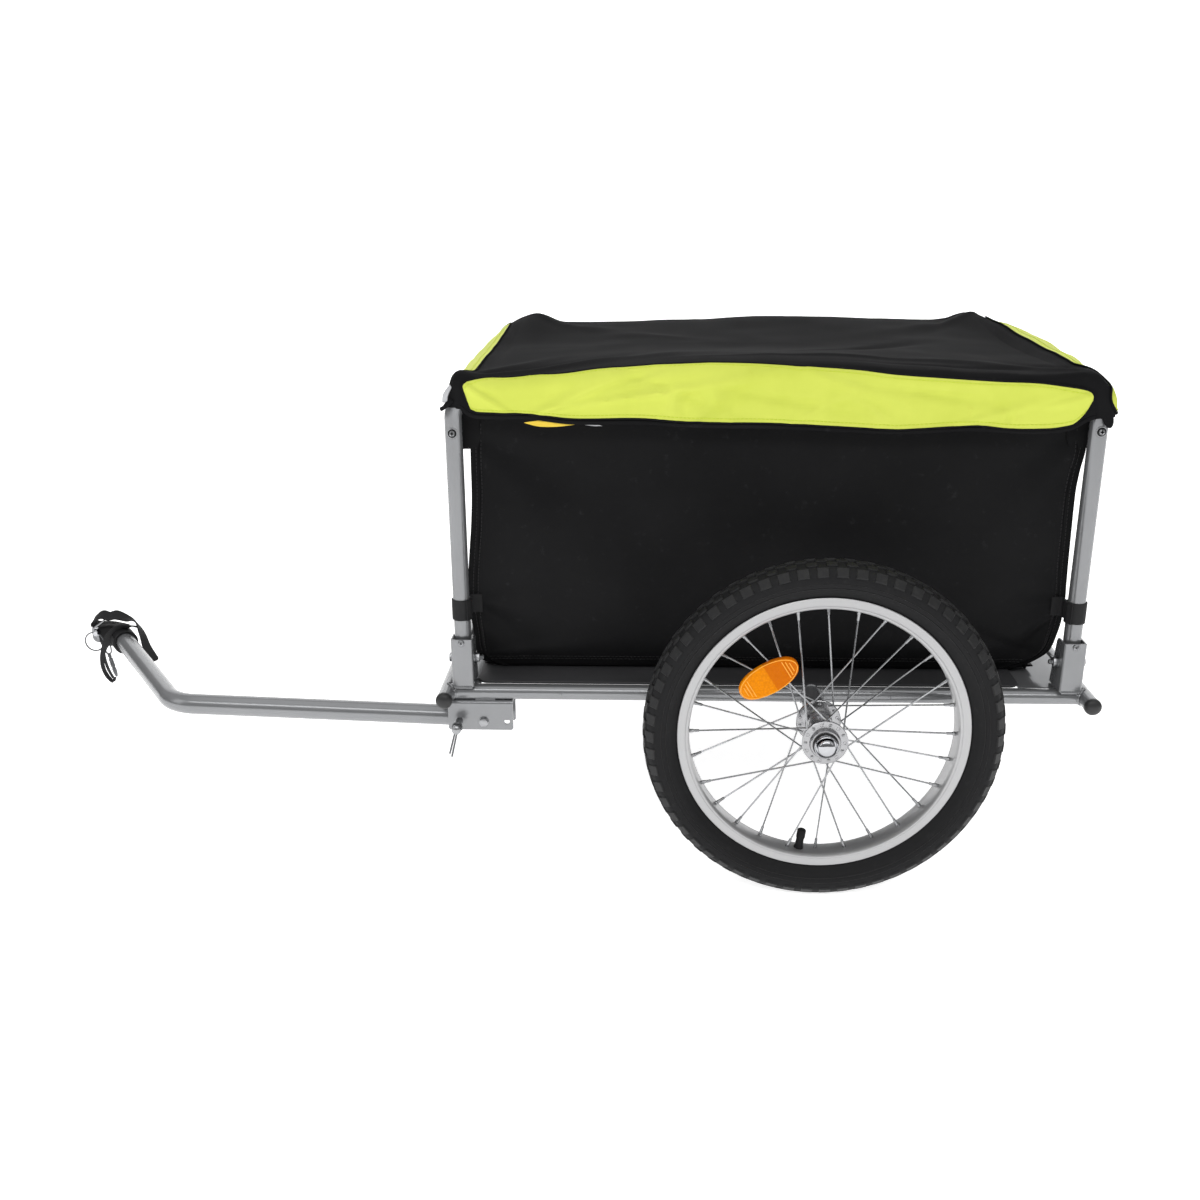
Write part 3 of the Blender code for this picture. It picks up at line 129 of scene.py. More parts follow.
class Finish:
    """A Principled material, and the nodes that vary it over a surface."""

    def __init__(self, name, colour, roughness, **constants):
        self.material = bpy.data.materials.new(name)
        self.material.use_nodes = True
        self.tree = self.material.node_tree
        self.shader = self.tree.nodes["Principled BSDF"]
        self.feed(self.shader.inputs["Base Color"], colour)
        self.feed(self.shader.inputs["Roughness"], roughness)
        for socket, value in constants.items():
            self.feed(self.shader.inputs[socket.replace("_", " ")], value)
        self.at = self.node("TexCoord", output="Object")

    def feed(self, socket, value):
        """Links a Wire to a socket, or sets its own value."""
        if isinstance(value, Wire):
            self.tree.links.new(value.socket, socket)
        elif isinstance(value, tuple) and len(socket.default_value) == 4:
            socket.default_value = (*value, 1.0)
        else:
            socket.default_value = value

    def node(self, kind, inputs=None, output=0, **settings):
        """Adds a node: its settings first, then the values or links of its sockets."""
        made = self.tree.nodes.new("ShaderNode" + kind)
        for key, value in settings.items():
            setattr(made, key, value)
        for key, value in (inputs or {}).items():
            self.feed(made.inputs[key], value)
        return Wire(self, made.outputs[output])

    def math(self, operation, *values):
        return self.node("Math", dict(enumerate(values)), operation=operation)

    def stretched(self, x, y, z):
        """Object coordinates, scaled along each axis."""
        return self.node("VectorMath", {0: self.at, 1: (x, y, z)}, operation="MULTIPLY")

    def turned(self, degrees, x, y, z):
        """Object coordinates turned about Y, then scaled."""
        angles = (0, math.radians(degrees), 0)
        return self.node("Mapping", {"Vector": self.at, "Rotation": angles, "Scale": (x, y, z)})

    def noise(self, scale, detail=3.0, roughness=0.5, at=None):
        sockets = {"Vector": at or self.at, "Scale": scale, "Detail": detail, "Roughness": roughness}
        return self.node("TexNoise", sockets)

    def cells(self, scale, at=None):
        return self.node("TexVoronoi", {"Vector": at or self.at, "Scale": scale})

    def ramp(self, value, low, high):
        """0 below low, 1 above high, and smooth between."""
        sockets = {"Value": value, "From Min": low, "From Max": high}
        return self.node("MapRange", sockets, interpolation_type="SMOOTHSTEP")

    def mix(self, factor, a, b):
        return self.node("Mix", {0: factor, 6: a, 7: b}, output=2, data_type="RGBA")

    def colour(self, value):
        self.feed(self.shader.inputs["Base Color"], value)

    def rough(self, value):
        self.feed(self.shader.inputs["Roughness"], value)

    def bump(self, height, strength, depth):
        """Raises the surface by height, which is 0 to 1, times depth in metres."""
        sockets = {"Strength": strength, "Distance": depth, "Height": height}
        self.feed(self.shader.inputs["Normal"], self.node("Bump", sockets))


def make_object(name, bm, finish, sharp=40.0):
    """Turns a bmesh into a piece, shaded smooth up to an angle."""
    mesh = bpy.data.meshes.new(name)
    bm.to_mesh(mesh)
    bm.free()
    mesh.materials.append(finish.material)
    mesh.shade_smooth()
    mesh.set_sharp_from_angle(angle=math.radians(sharp))
    obj = bpy.data.objects.new(name, mesh)
    bpy.context.scene.collection.objects.link(obj)
    return obj


def add_light(name, size, power, place, target):
    light = bpy.data.lights.new(name, "AREA")
    light.shape = "RECTANGLE"
    light.size, light.size_y = size
    light.energy = power
    lamp = bpy.data.objects.new(name, light)
    lamp.location = place
    lamp.rotation_euler = (Vector(target) - Vector(place)).to_track_quat("-Z", "Y").to_euler()
    bpy.context.scene.collection.objects.link(lamp)


paper = Finish("studio_paper", srgb(246, 246, 246), 0.9, Emission_Color=(1.0, 1.0, 1.0))
paper.feed(paper.shader.inputs["Emission Strength"], PAPER_GLOW)
paper.bump(paper.noise(900, 2), 0.05, 0.0002)
bm = bmesh.new()
front_edge = [bm.verts.new((x, -FLOOR_HALF, 0)) for x in (-FLOOR_HALF, FLOOR_HALF)]
edges = [bm.edges.new(front_edge)]
made = bmesh.ops.extrude_edge_only(bm, edges=edges)["geom"]
ends = [v for v in made if isinstance(v, bmesh.types.BMVert)]
bmesh.ops.translate(bm, verts=ends, vec=Y * (2 * FLOOR_HALF - BACKDROP_TURN))
edge = [e for e in bm.edges if all(v in ends for v in e.verts)]
rise = bmesh.ops.spin(
    bm,
    geom=ends + edge,
    cent=(0, FLOOR_HALF - BACKDROP_TURN, BACKDROP_TURN),
    axis=X,
    angle=math.radians(90),
    steps=16,
)["geom_last"]
made = bmesh.ops.extrude_edge_only(bm, edges=[e for e in rise if isinstance(e, bmesh.types.BMEdge)])
top = [v for v in made["geom"] if isinstance(v, bmesh.types.BMVert)]
bmesh.ops.translate(bm, verts=top, vec=Z * FLOOR_HALF)
make_object("floor", bm, paper)

world = bpy.data.worlds.new("studio")
bpy.context.scene.world = world
world.use_nodes = True
sky, links = world.node_tree.nodes["Background"], world.node_tree.links
place = world.node_tree.nodes.new("ShaderNodeTexCoord")
height = world.node_tree.nodes.new("ShaderNodeSeparateXYZ")
links.new(place.outputs["Generated"], height.inputs[0])
room = world.node_tree.nodes.new("ShaderNodeMapRange")
for name, value in (("From Min", 0.05), ("From Max", 0.75), ("To Min", ROOM_LOW), ("To Max", ROOM_HIGH)):
    room.inputs[name].default_value = value
links.new(height.outputs["Z"], room.inputs["Value"])
links.new(room.outputs[0], sky.inputs["Strength"])
sky.inputs["Color"].default_value = (1, 1, 1, 1)
add_light("overhead", (3.0, 2.4), 11.5, (0.25, -0.2, 2.6), (0.25, 0, 0.3))
add_light("left_window", (1.2, 1.8), 7, (-2.4, -1.6, 1.5), (0.2, 0, 0.3))
add_light("right_window", (1.2, 1.8), 3, (2.8, -1.5, 1.6), (0.3, 0, 0.3))
add_light("front_strip", (3.4, 0.55), 22, (0.1, -2.35, 2.25), (0.2, 0, 0.3))
bpy.context.scene.view_settings.view_transform = "Standard"

# Painted steel frame: rails and cross tubes
# Two round steel side rails butt into a round cross tube at each end, with a bead of weld
# round each joint. The whole weldment is sprayed in one coat of silver-grey enamel.
AXLE_X = 0.329
AXLE_Z = 0.2
RAIL_Y = 0.25
RAIL_Z = 0.202
TUBE_RADIUS = 0.0095
TUBE_WALL = 0.0015
POST_X = {"front": AXLE_X - 0.417, "rear": AXLE_X + 0.3}
CROSS_X = {"front": POST_X["front"] - 0.021, "rear": POST_X["rear"] + 0.021}
CROSS_REACH = 0.279
STRIP_THICK = 0.002
STRIP_TOP = RAIL_Z + TUBE_RADIUS - 0.002
STRIP_WIDTH = {"front": 0.04, "rear": 0.075}
WELD_RADIUS = 0.0017
WELD_RIPPLE = 0.0026
WELD_STEPS = 72
TACKS_Y = (-0.16, 0.0, 0.16)
TACK_LENGTH = 0.05
RIVETS_X = (0.029, 0.334, 0.421)
RIVET_RADIUS = 0.0022


def join(whole, *others):
    """Adds other bmeshes to the first one."""
    for other in others:
        spare = bpy.data.meshes.new("spare")
        other.to_mesh(spare)
        other.free()
        whole.from_mesh(spare)
        bpy.data.meshes.remove(spare)
    return whole


def bevel(bm, geom, offset, segments, affect="EDGES"):
    bmesh.ops.bevel(bm, geom=geom, offset=offset, affect=affect, segments=segments, profile=0.5, material=-1)


def soften(bm, width, segments=2, least=35.0):
    """Rounds the edges that are sharper than least degrees."""
    limit = math.radians(least)
    edges = [e for e in bm.edges if len(e.link_faces) == 2 and e.calc_face_angle(0) > limit]
    bevel(bm, edges, width, segments)
    return bm


def turned(outline, centre, axis, steps=48, closed=False):
    """A bmesh turned from an outline of (along, radius) points about an axis."""
    axis = Vector(axis).normalized()
    first = -Z if abs(axis.z) < 0.9 else X
    out = (first - axis * first.dot(axis)).normalized()
    bm = bmesh.new()
    points = [bm.verts.new(Vector(centre) + axis * a + out * r) for a, r in outline]
    edges = [bm.edges.new(pair) for pair in zip(points, points[1:])]
    if closed:
        edges.append(bm.edges.new((points[-1], points[0])))
    bmesh.ops.spin(
        bm, geom=points + edges, cent=centre, axis=axis, angle=math.tau, steps=steps, use_merge=True
    )
    bmesh.ops.remove_doubles(bm, verts=bm.verts, dist=1e-6)
    bmesh.ops.recalc_face_normals(bm, faces=bm.faces)
    return bm


def bent_tube(start, heading, runs, radius, sides=32, bend_steps=14, wall=0.0):
    """A tube of straight runs, (length,), and bends, (angle, bend radius, towards)."""
    point, heading = Vector(start), Vector(heading).normalized()
    bm = bmesh.new()
    turn = heading.to_track_quat("Z", "X").to_matrix().to_4x4()
    bmesh.ops.create_circle(bm, segments=sides, radius=radius, matrix=Matrix.Translation(point) @ turn)
    ring = bm.edges[:]
    for run in runs:
        if len(run) == 1:
            made = bmesh.ops.extrude_edge_only(bm, edges=ring)["geom"]
            ends = [v for v in made if isinstance(v, bmesh.types.BMVert)]
            bmesh.ops.translate(bm, verts=ends, vec=heading * run[0])
            ring = [e for e in made if isinstance(e, bmesh.types.BMEdge) and set(e.verts) <= set(ends)]
            point = point + heading * run[0]
        else:
            angle, bend_radius, towards = run
            centre, axis = point + towards * bend_radius, heading.cross(towards)
            verts = list({v for e in ring for v in e.verts})
            made = bmesh.ops.spin(
                bm, geom=verts + ring, cent=centre, axis=axis, angle=math.radians(angle), steps=bend_steps
            )["geom_last"]
            ring = [e for e in made if isinstance(e, bmesh.types.BMEdge)]
            turn = Matrix.Rotation(math.radians(angle), 3, axis)
            point, heading = centre + turn @ (point - centre), turn @ heading
    bmesh.ops.recalc_face_normals(bm, faces=bm.faces)
    if wall:
        bmesh.ops.solidify(bm, geom=bm.faces[:], thickness=wall)
        bmesh.ops.recalc_face_normals(bm, faces=bm.faces)
    return bm


def box(low, high, round_off=0.0):
    """A block between two corners, with its edges rounded off."""
    low, high = Vector(low), Vector(high)
    bm = bmesh.new()
    bmesh.ops.create_cube(bm, size=1.0)
    bmesh.ops.scale(bm, vec=high - low, verts=bm.verts)
    bmesh.ops.translate(bm, vec=(low + high) / 2, verts=bm.verts)
    return soften(bm, round_off) if round_off else bm


def clad(bm, rings, closed=False):
    """Faces between rings of vertices, and over the two end rings unless the run is closed."""
    span = len(rings[0])
    for a, b in zip(rings, rings[1:] + (rings[:1] if closed else [])):
        for i in range(span):
            bm.faces.new((a[i], a[(i + 1) % span], b[(i + 1) % span], b[i]))
    if not closed:
        bm.faces.new(rings[0][::-1])
        bm.faces.new(rings[-1])
    bmesh.ops.recalc_face_normals(bm, faces=bm.faces)
    return bm


def sweep(points, section, closed=False, across=None, swell=None):
    """Carries a flat section of (across, up) points along a path, swollen as it goes."""
    points = [Vector(p) for p in points]
    count = len(points)
    bm = bmesh.new()
    rings = []
    normal = Vector(across) if across else None
    for i, point in enumerate(points):
        back = points[i - 1] if closed or i else point
        ahead = points[(i + 1) % count] if closed or i < count - 1 else point
        along = (ahead - back).normalized()
        if normal is None:
            normal = along.orthogonal().normalized()
        side = Vector(across) if across else normal
        side = (side - along * side.dot(along)).normalized()
        normal = side
        up = along.cross(side)
        size = swell(i / (count - 1)) if swell else 1.0
        rings.append([bm.verts.new(point + side * a * size + up * b * size) for a, b in section])
    return clad(bm, rings, closed)


def ring_section(radius, sides=8):
    turns = (math.tau * i / sides for i in range(sides))
    return [(math.cos(t) * radius, math.sin(t) * radius) for t in turns]


def smooth_line(points, steps=6):
    """A Catmull-Rom curve through points."""
    points = [Vector(p) for p in points]
    last = len(points) - 1
    line = []
    for i in range(last):
        p0, p1, p2, p3 = (points[max(0, min(last, i + k))] for k in (-1, 0, 1, 2))
        for step in range(steps):
            t = step / steps
            a = 2 * p1 + (p2 - p0) * t
            b = (2 * p0 - 5 * p1 + 4 * p2 - p3) * t * t
            c = (3 * p1 - p0 - 3 * p2 + p3) * t * t * t
            line.append((a + b + c) / 2)
    return line + [points[-1]]


def weld(points, closed=True, radius=WELD_RADIUS):
    """A bead of weld along a path, with the ripples that a torch leaves."""
    line = [Vector(p) for p in points]
    length = sum((b - a).length for a, b in zip(line, line[1:]))
    ripples = max(3, round(length / WELD_RIPPLE))

    def ripple(share):
        return 0.86 + 0.22 * abs(math.sin(math.pi * ripples * share))

    return sweep(line, ring_section(radius), closed=closed, swell=ripple)


def saddle(x, y, away):
    """The line on which a rail's end meets its cross tube."""
    line = []
    for i in range(WELD_STEPS):
        angle = math.tau * i / WELD_STEPS
        rise = TUBE_RADIUS * math.sin(angle)
        gap = math.sqrt(max(TUBE_RADIUS**2 - rise**2, 0))
        line.append((x - away * (gap + 0.0004), y + TUBE_RADIUS * math.cos(angle), RAIL_Z + rise))
    return line


enamel = Finish("silver_grey_enamel", srgb(150, 151, 153), 0.36, Metallic=0.55)
cloudy = enamel.noise(9, 4, 0.6)
scuffs = enamel.ramp(enamel.noise(60, 6, 0.75, enamel.stretched(0.25, 1, 1)), 0.62, 0.76)
shade = enamel.mix(cloudy, srgb(128, 129, 131), srgb(148, 149, 151))
enamel.colour(enamel.mix(scuffs * 0.08, shade, srgb(176, 176, 177)))
enamel.rough(0.17 + cloudy * 0.1 + scuffs * 0.03)
enamel.bump(enamel.noise(700, 2) * 0.7 + enamel.noise(150, 2) * 0.3, 0.18, 0.0004)
for side, name in SIDES.items():
    y = side * RAIL_Y
    length = CROSS_X["rear"] - CROSS_X["front"]
    rail = bent_tube((CROSS_X["front"], y, RAIL_Z), X, [(length,)], TUBE_RADIUS, sides=40, wall=TUBE_WALL)
    rivets = []
    for x in RIVETS_X:
        dome = [(0.0, RIVET_RADIUS), (0.0006, RIVET_RADIUS * 0.8), (0.001, 0)]
        rivets.append(turned(dome, (x, side * (RAIL_Y + TUBE_RADIUS - 0.0002), RAIL_Z), Y * side, 16))
    piece = make_object(f"side_rail_{name}", join(rail, *rivets), enamel)
    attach(piece, "base")
    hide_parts(f"rail_{name}")

for end, away in ENDS.items():
    x = CROSS_X[end]
    runs = [(2 * CROSS_REACH,)]
    cross = bent_tube((x, -CROSS_REACH, RAIL_Z), Y, runs, TUBE_RADIUS, sides=40, wall=TUBE_WALL)
    low, high = sorted((x - away * (TUBE_RADIUS - 0.0016), x - away * STRIP_WIDTH[end]))
    reach = RAIL_Y - TUBE_RADIUS - 0.0003
    strip = box((low, -reach, STRIP_TOP - STRIP_THICK), (high, reach, STRIP_TOP), 0.0005)
    seam_z = STRIP_TOP + 0.0006
    seam_x = x - away * (math.sqrt(TUBE_RADIUS**2 - (seam_z - RAIL_Z) ** 2) + 0.001)
    beads = [weld(saddle(x, side * RAIL_Y, away)) for side in SIDES]
    for middle in TACKS_Y:
        line = [(seam_x, middle + TACK_LENGTH * (i / 60 - 0.5), seam_z) for i in range(61)]
        beads.append(weld(line, closed=False, radius=0.0014))
    piece = make_object(f"cross_tube_{end}", join(cross, strip, *beads), enamel)
    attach(piece, "base")
    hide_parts(f"{end}_cross_tube")

# End caps
# Domed caps of black moulded plastic, pushed into the open ends of the cross tubes.
CAP_RADIUS = 0.01
CAP_DOME = 0.006
CAP_LIP = 0.003
black_plastic = Finish("black_moulded_plastic", srgb(30, 30, 31), 0.42)
black_plastic.rough(0.36 + black_plastic.noise(40, 3) * 0.16)
black_plastic.bump(black_plastic.noise(1400, 2), 0.25, 0.0002)
for end in ENDS:
    for side, name in SIDES.items():
        dome = [
            (CAP_LIP + CAP_DOME * math.sin(math.radians(a)), CAP_RADIUS * math.cos(math.radians(a)))
            for a in range(0, 91, 9)
        ]
        plug = [(-0.014, 0), (-0.014, 0.0068), (-0.0125, 0.0076), (0.0003, 0.0076), (0.0003, 0.0096)]
        outline = plug + [(0.0007, CAP_RADIUS)] + dome
        centre = (CROSS_X[end], side * CROSS_REACH, RAIL_Z)
        piece = make_object(f"cross_tube_cap_{end}_{name}", turned(outline, centre, Y * side), black_plastic)
        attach(piece, "base")
        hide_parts(f"end_cap_{end}_{name}")

# Axle sockets
# A thick-walled sleeve is welded through each side rail. The wheel's axle plugs into it
# and its two balls lock behind the sleeve, so the mouth is chamfered.
SOCKET_MOUTH = 0.313
SOCKET_RADIUS = 0.013
SOCKET_BORE = 0.0063
for side, name in SIDES.items():
    root = RAIL_Y - 0.004
    outline = [
        (root, SOCKET_BORE), (SOCKET_MOUTH - 0.001, SOCKET_BORE), (SOCKET_MOUTH, SOCKET_BORE + 0.001),
        (SOCKET_MOUTH, SOCKET_RADIUS - 0.0008), (SOCKET_MOUTH - 0.0008, SOCKET_RADIUS), (root, SOCKET_RADIUS),
    ]  # fmt: skip
    sleeve = turned(outline, (AXLE_X, 0, AXLE_Z), Y * side, closed=True)
    line = []
    for i in range(WELD_STEPS):
        angle = math.tau * i / WELD_STEPS
        rise = SOCKET_RADIUS * math.sin(angle) + AXLE_Z - RAIL_Z
        gap = math.sqrt(max(TUBE_RADIUS**2 - rise**2, 0))
        line.append((AXLE_X + SOCKET_RADIUS * math.cos(angle), side * (RAIL_Y + gap), RAIL_Z + rise))
    piece = make_object(f"axle_sleeve_{name}", join(sleeve, weld(line)), enamel)
    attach(piece, "base")
    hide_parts(f"axle_socket_{name}")

# Floor board
# A thin sheet of dark composite board lies on the two strips between the rails. Its
# edges are sawn, its corners rounded, and the face has a fine pebbled grain.
BOARD_FRONT = 0.007
BOARD_CORNER = 0.012
board = Finish("dark_composite_board", srgb(58, 58, 60), 0.62)
board_cloud = board.noise(14, 5, 0.65)
board.colour(board.mix(board_cloud, srgb(48, 48, 50), srgb(68, 68, 70)))
board.rough(0.52 + board_cloud * 0.2)
board.bump(board.cells(900), 0.3, 0.0003)
low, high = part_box("floor_board")
bm = box(Vector(low) - X * BOARD_FRONT, high)
bevel(bm, [e for e in bm.edges if abs((e.verts[0].co - e.verts[1].co).z) > 0.001], BOARD_CORNER, 5)
piece = make_object("load_floor", soften(bm, 0.0005, 1), board)
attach(piece, "base")
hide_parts("floor_board")

# Post brackets
# Each is one piece of 2 mm sheet folded into a channel and welded upright on the rail.
# Its web is on the outside; the post folds inwards between its two flanges.
WEB_Y = RAIL_Y + 0.013
BRACKET_WIDTH = 0.026
BRACKET_TOP = RAIL_Z + TUBE_RADIUS + 0.061
FLANGE_TOP, FLANGE_BOTTOM = 0.028, 0.04
SHEET = 0.002
FOLD_RADIUS = 0.003
FLANGE_CORNER = 0.007
for end in ENDS:
    for side, name in SIDES.items():
        x, half, web = POST_X[end], BRACKET_WIDTH / 2, side * WEB_Y
        low, high = RAIL_Z + TUBE_RADIUS + 0.0003, BRACKET_TOP
        bm = bmesh.new()
        strips = [
            [bm.verts.new((x + dx, web - side * d, z)) for d, z in ((low_in, low), (high_in, high))]
            for dx, low_in, high_in in (
                (-half, FLANGE_BOTTOM, FLANGE_TOP), (-half, 0, 0),
                (half, 0, 0), (half, FLANGE_BOTTOM, FLANGE_TOP),
            )
        ]  # fmt: skip
        for a, b in zip(strips, strips[1:]):
            bm.faces.new((a[0], b[0], b[1], a[1]))
        bevel(bm, [strips[0][1], strips[3][1]], FLANGE_CORNER, 5, "VERTICES")
        bevel(bm, [e for e in bm.edges if len(e.link_faces) == 2], FOLD_RADIUS, 6)
        for face in bm.faces:
            outward = Vector((face.calc_center_median().x - x, side * 0.001, 0))
            outward.y = 0 if abs(face.normal.x) > 0.9 else outward.y
            if face.normal.dot(outward) < 0:
                face.normal_flip()
        bmesh.ops.solidify(bm, geom=bm.faces[:], thickness=SHEET)
        soften(bm, 0.0003, 1, least=60)
        foot = []
        for flange_x in (x - half + SHEET, x + half - SHEET):
            inner = [web - side * (0.004 + 0.034 * i / 40) for i in range(41)]
            foot.append(weld([(flange_x, y, low + 0.0004) for y in inner], closed=False, radius=0.0016))
        outer = [x - half + 0.002 + (BRACKET_WIDTH - 0.004) * i / 30 for i in range(31)]
        line = [(along, web - side * 0.0006, low + 0.0002) for along in outer]
        foot.append(weld(line, closed=False, radius=0.002))
        piece = make_object(f"post_channel_{end}_{name}", join(bm, *foot), enamel)
        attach(piece, "base")
        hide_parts(f"post_bracket_{end}_{name}")

# Pivot bolts and lock screws
# Zinc-plated M6 hexagon bolts with a washer under the head and the nut, and small pan
# screws that lock the posts upright.
M6_RADIUS = 0.003
HEX_RADIUS = 0.00577
WASHER_RADIUS = 0.006
WASHER_THICK = 0.001
HEAD_THICK = 0.003
NUT_THICK = 0.005
THREAD_PITCH = 0.001
THREAD_LENGTH = 0.0045
FOLD_Z = 0.245
POST_Y = 0.247
LOCK_Z = FOLD_Z + 0.0235


def zinc(name="zinc_plated_steel", colour=(160, 161, 163), roughness=0.3):
    """Bright zinc: slightly blue, with dull mottling and fine scratches."""
    plate = Finish(name, srgb(*colour), roughness, Metallic=1.0)
    mottle = plate.noise(220, 4, 0.6)
    dark, pale = (srgb(*(c + step for c in colour)) for step in (-22, 14))
    plate.colour(plate.mix(mottle, dark, pale))
    plate.rough(roughness - 0.08 + mottle * 0.2)
    plate.bump(plate.noise(2600, 2), 0.1, 0.0001)
    return plate


def hexagon(centre, axis, thick):
    """A bolt head or nut: a hexagonal block with its edges eased."""
    axis = Vector(axis).normalized()
    turn = axis.to_track_quat("Z", "X").to_matrix().to_4x4()
    bm = bmesh.new()
    place = Matrix.Translation(Vector(centre) + axis * thick / 2) @ turn
    sizes = {"radius1": HEX_RADIUS, "radius2": HEX_RADIUS, "depth": thick}
    bmesh.ops.create_cone(bm, cap_ends=True, segments=6, matrix=place, **sizes)
    bevel(bm, bm.edges[:], 0.0004, 2)
    return bm


def washer(centre, axis, radius=WASHER_RADIUS, thick=WASHER_THICK, bore=M6_RADIUS):
    outline = [(0, bore), (0, radius), (thick * 0.8, radius), (thick, radius - 0.0002), (thick, bore)]
    return turned(outline, centre, axis, 32, closed=True)


def thread(start, axis):
    """A stretch of rolled thread, and its chamfered tip."""
    outline = [(0, 0), (0, M6_RADIUS)]
    for i in range(int(THREAD_LENGTH / THREAD_PITCH)):
        outline += [((i + 0.5) * THREAD_PITCH, M6_RADIUS - 0.0005), ((i + 1) * THREAD_PITCH, M6_RADIUS)]
    outline += [(THREAD_LENGTH + 0.0004, M6_RADIUS - 0.0007), (THREAD_LENGTH + 0.0004, 0)]
    return turned(outline, start, axis, 20)


def bolt(start, axis, grip):
    """A hexagon bolt: head and washer before start, washer and nut past the grip."""
    start, axis = Vector(start), Vector(axis).normalized()
    seat, gap = start + axis * grip, axis * WASHER_THICK
    shank = turned([(0, 0), (0, M6_RADIUS), (grip, M6_RADIUS), (grip, 0)], start, axis, 24)
    head = washer(start - gap, axis), hexagon(start - gap, -axis, HEAD_THICK)
    nut = washer(seat, axis), hexagon(seat + gap, axis, NUT_THICK)
    return join(shank, *head, *nut, thread(seat + gap + axis * NUT_THICK, axis))


def pan_screw(seat, axis, radius, height, shank):
    """A round-headed screw with a cross recess, standing out of seat along axis."""
    seat, axis = Vector(seat), Vector(axis).normalized()
    outline = [(-shank, 0), (-shank, radius * 0.5), (0, radius * 0.5), (0, radius)]
    for degrees in range(10, 81, 14):
        angle = math.radians(degrees)
        outline.append((height * math.sin(angle), radius * math.cos(angle) ** 0.6))
    outline += [(height, radius * 0.3), (height - 0.001, radius * 0.16), (height - 0.001, 0)]
    head = turned(outline, seat, axis, 28)
    first = axis.orthogonal().normalized()
    for i in range(4):
        arm = Matrix.Rotation(math.tau * (i + 0.5) / 4, 3, axis) @ first
        middle = seat + axis * (height - 0.00015) + arm * radius * 0.34
        side = axis.cross(arm)
        for v in head.verts:
            offset = v.co - middle
            if abs(offset.dot(side)) < radius * 0.16 and abs(offset.dot(arm)) < radius * 0.34:
                v.co -= axis * 0.0007
    return head


bright_zinc = zinc()
for end, away in ENDS.items():
    for side, name in SIDES.items():
        seat = BRACKET_WIDTH / 2 + 0.0003
        start = (POST_X[end] + away * seat, side * POST_Y, FOLD_Z)
        piece = make_object(f"pivot_bolt_{end}_{name}", bolt(start, -X * away, 2 * seat), bright_zinc)
        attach(piece, "base")
        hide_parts(f"post_bolt_{end}_{name}")
        screw = pan_screw((POST_X[end], side * (WEB_Y + 0.0003), LOCK_Z), Y * side, 0.0038, 0.0023, 0.007)
        piece = make_object(f"locking_screw_{end}_{name}", screw, bright_zinc)
        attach(piece, "base")
        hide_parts(f"lock_screw_{end}_{name}")

# Side frames
# Each side frame is one round tube bent into a front post, a top rail and a rear post,
# in the same grey enamel as the base. A screw with a washer holds a bag corner to each post.
POST_RADIUS = 0.01
POST_BEND = 0.033
POST_FOOT = FOLD_Z - 0.0082
TOP_RAIL_Z = 0.566
CORNER_SCREW_Z = 0.5185
# Painted shade: black rings in the gap round each bag screw's head, and a black cross over its recess, stand
# for the shadow that falls there.
screw_painted_shade = zinc("painted_shade_screw_recess", (34, 34, 35), 0.5)
for side, name in SIDES.items():
    rise = TOP_RAIL_Z - POST_BEND - POST_FOOT
    across = POST_X["rear"] - POST_X["front"] - 2 * POST_BEND
    runs = [(rise,), (90, POST_BEND, X), (across,), (90, POST_BEND, -Z), (rise,)]
    foot = (POST_X["front"], side * POST_Y, POST_FOOT)
    bm = bent_tube(foot, Z, runs, POST_RADIUS, sides=40, wall=TUBE_WALL)
    piece = make_object(f"bent_side_frame_{name}", bm, enamel)
    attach(piece, f"side_frame_{name}")
    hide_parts(f"side_frame_{name}")
    for end in ENDS:
        seat = Vector((POST_X[end], side * (POST_Y + POST_RADIUS + 0.0003), CORNER_SCREW_Z))
        out = Y * side
        face = seat + out * WASHER_THICK
        screw = join(washer(seat, out, 0.0058, bore=0.0022), pan_screw(face, out, 0.0037, 0.0026, 0.006))
        top = seat + out * 0.0036
        # Painted shadow: a dark ring at the foot of the head and a dark cross over the recess.
        dark = [washer(face, out, 0.0049, 0.0005, 0.0034)]
        arms = Vector((0.0018, 0, 0.0005)), Vector((0.0005, 0, 0.0018))
        dark += [box(top - arm - Y * 0.0003, top + arm + Y * 0.0003) for arm in arms]
        piece = make_object(f"bag_screw_recess_{end}_{name}", join(*dark), screw_painted_shade)
        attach(piece, f"side_frame_{name}")
        piece = make_object(f"bag_screw_{end}_{name}", screw, bright_zinc)
        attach(piece, f"side_frame_{name}")
        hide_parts(f"corner_screw_{end}_{name}")

# Tyres
# 16 inch tyres of black rubber. Three fine ribs run round each sidewall, square lugs stand
# round both shoulders, and staggered blocks cover the crown.
WHEEL_Y = 0.355
TYRE_RADIUS = 0.2
TYRE_SIDE = ((12.4, 156), (12.4, 161.5), (15.5, 165.5), (20.2, 170.5), (23.0, 176.5), (23.5, 182))
TYRE_CROWN = ((22.2, 188.5), (18.6, 193.4), (12.0, 196.8), (0.0, 198.2))
TYRE_INSIDE = ((9.5, 156), (19.6, 179), (12.6, 193), (0.0, 195.6))
SIDE_RIBS = ((0.159, 0.0124), (0.1748, 0.0224), (0.18, 0.0234))
LUGS_ROUND = 58
BLOCK_RISE = 0.0022
SHOULDER_LUG, LUG_ARC = ((0.0226, 0.1868), (0.0146, 0.1956)), 0.014 / TYRE_RADIUS
INNER_BLOCK, INNER_ARC = ((0.0128, 0.1964), (0.0058, 0.1978)), 0.0125 / TYRE_RADIUS
CROWN_BLOCK, CROWN_ARC = ((-0.004, 0.1982), (0.004, 0.1982)), 0.013 / TYRE_RADIUS


def in_metres(table):
    return [(a / 1000, r / 1000) for a, r in table]


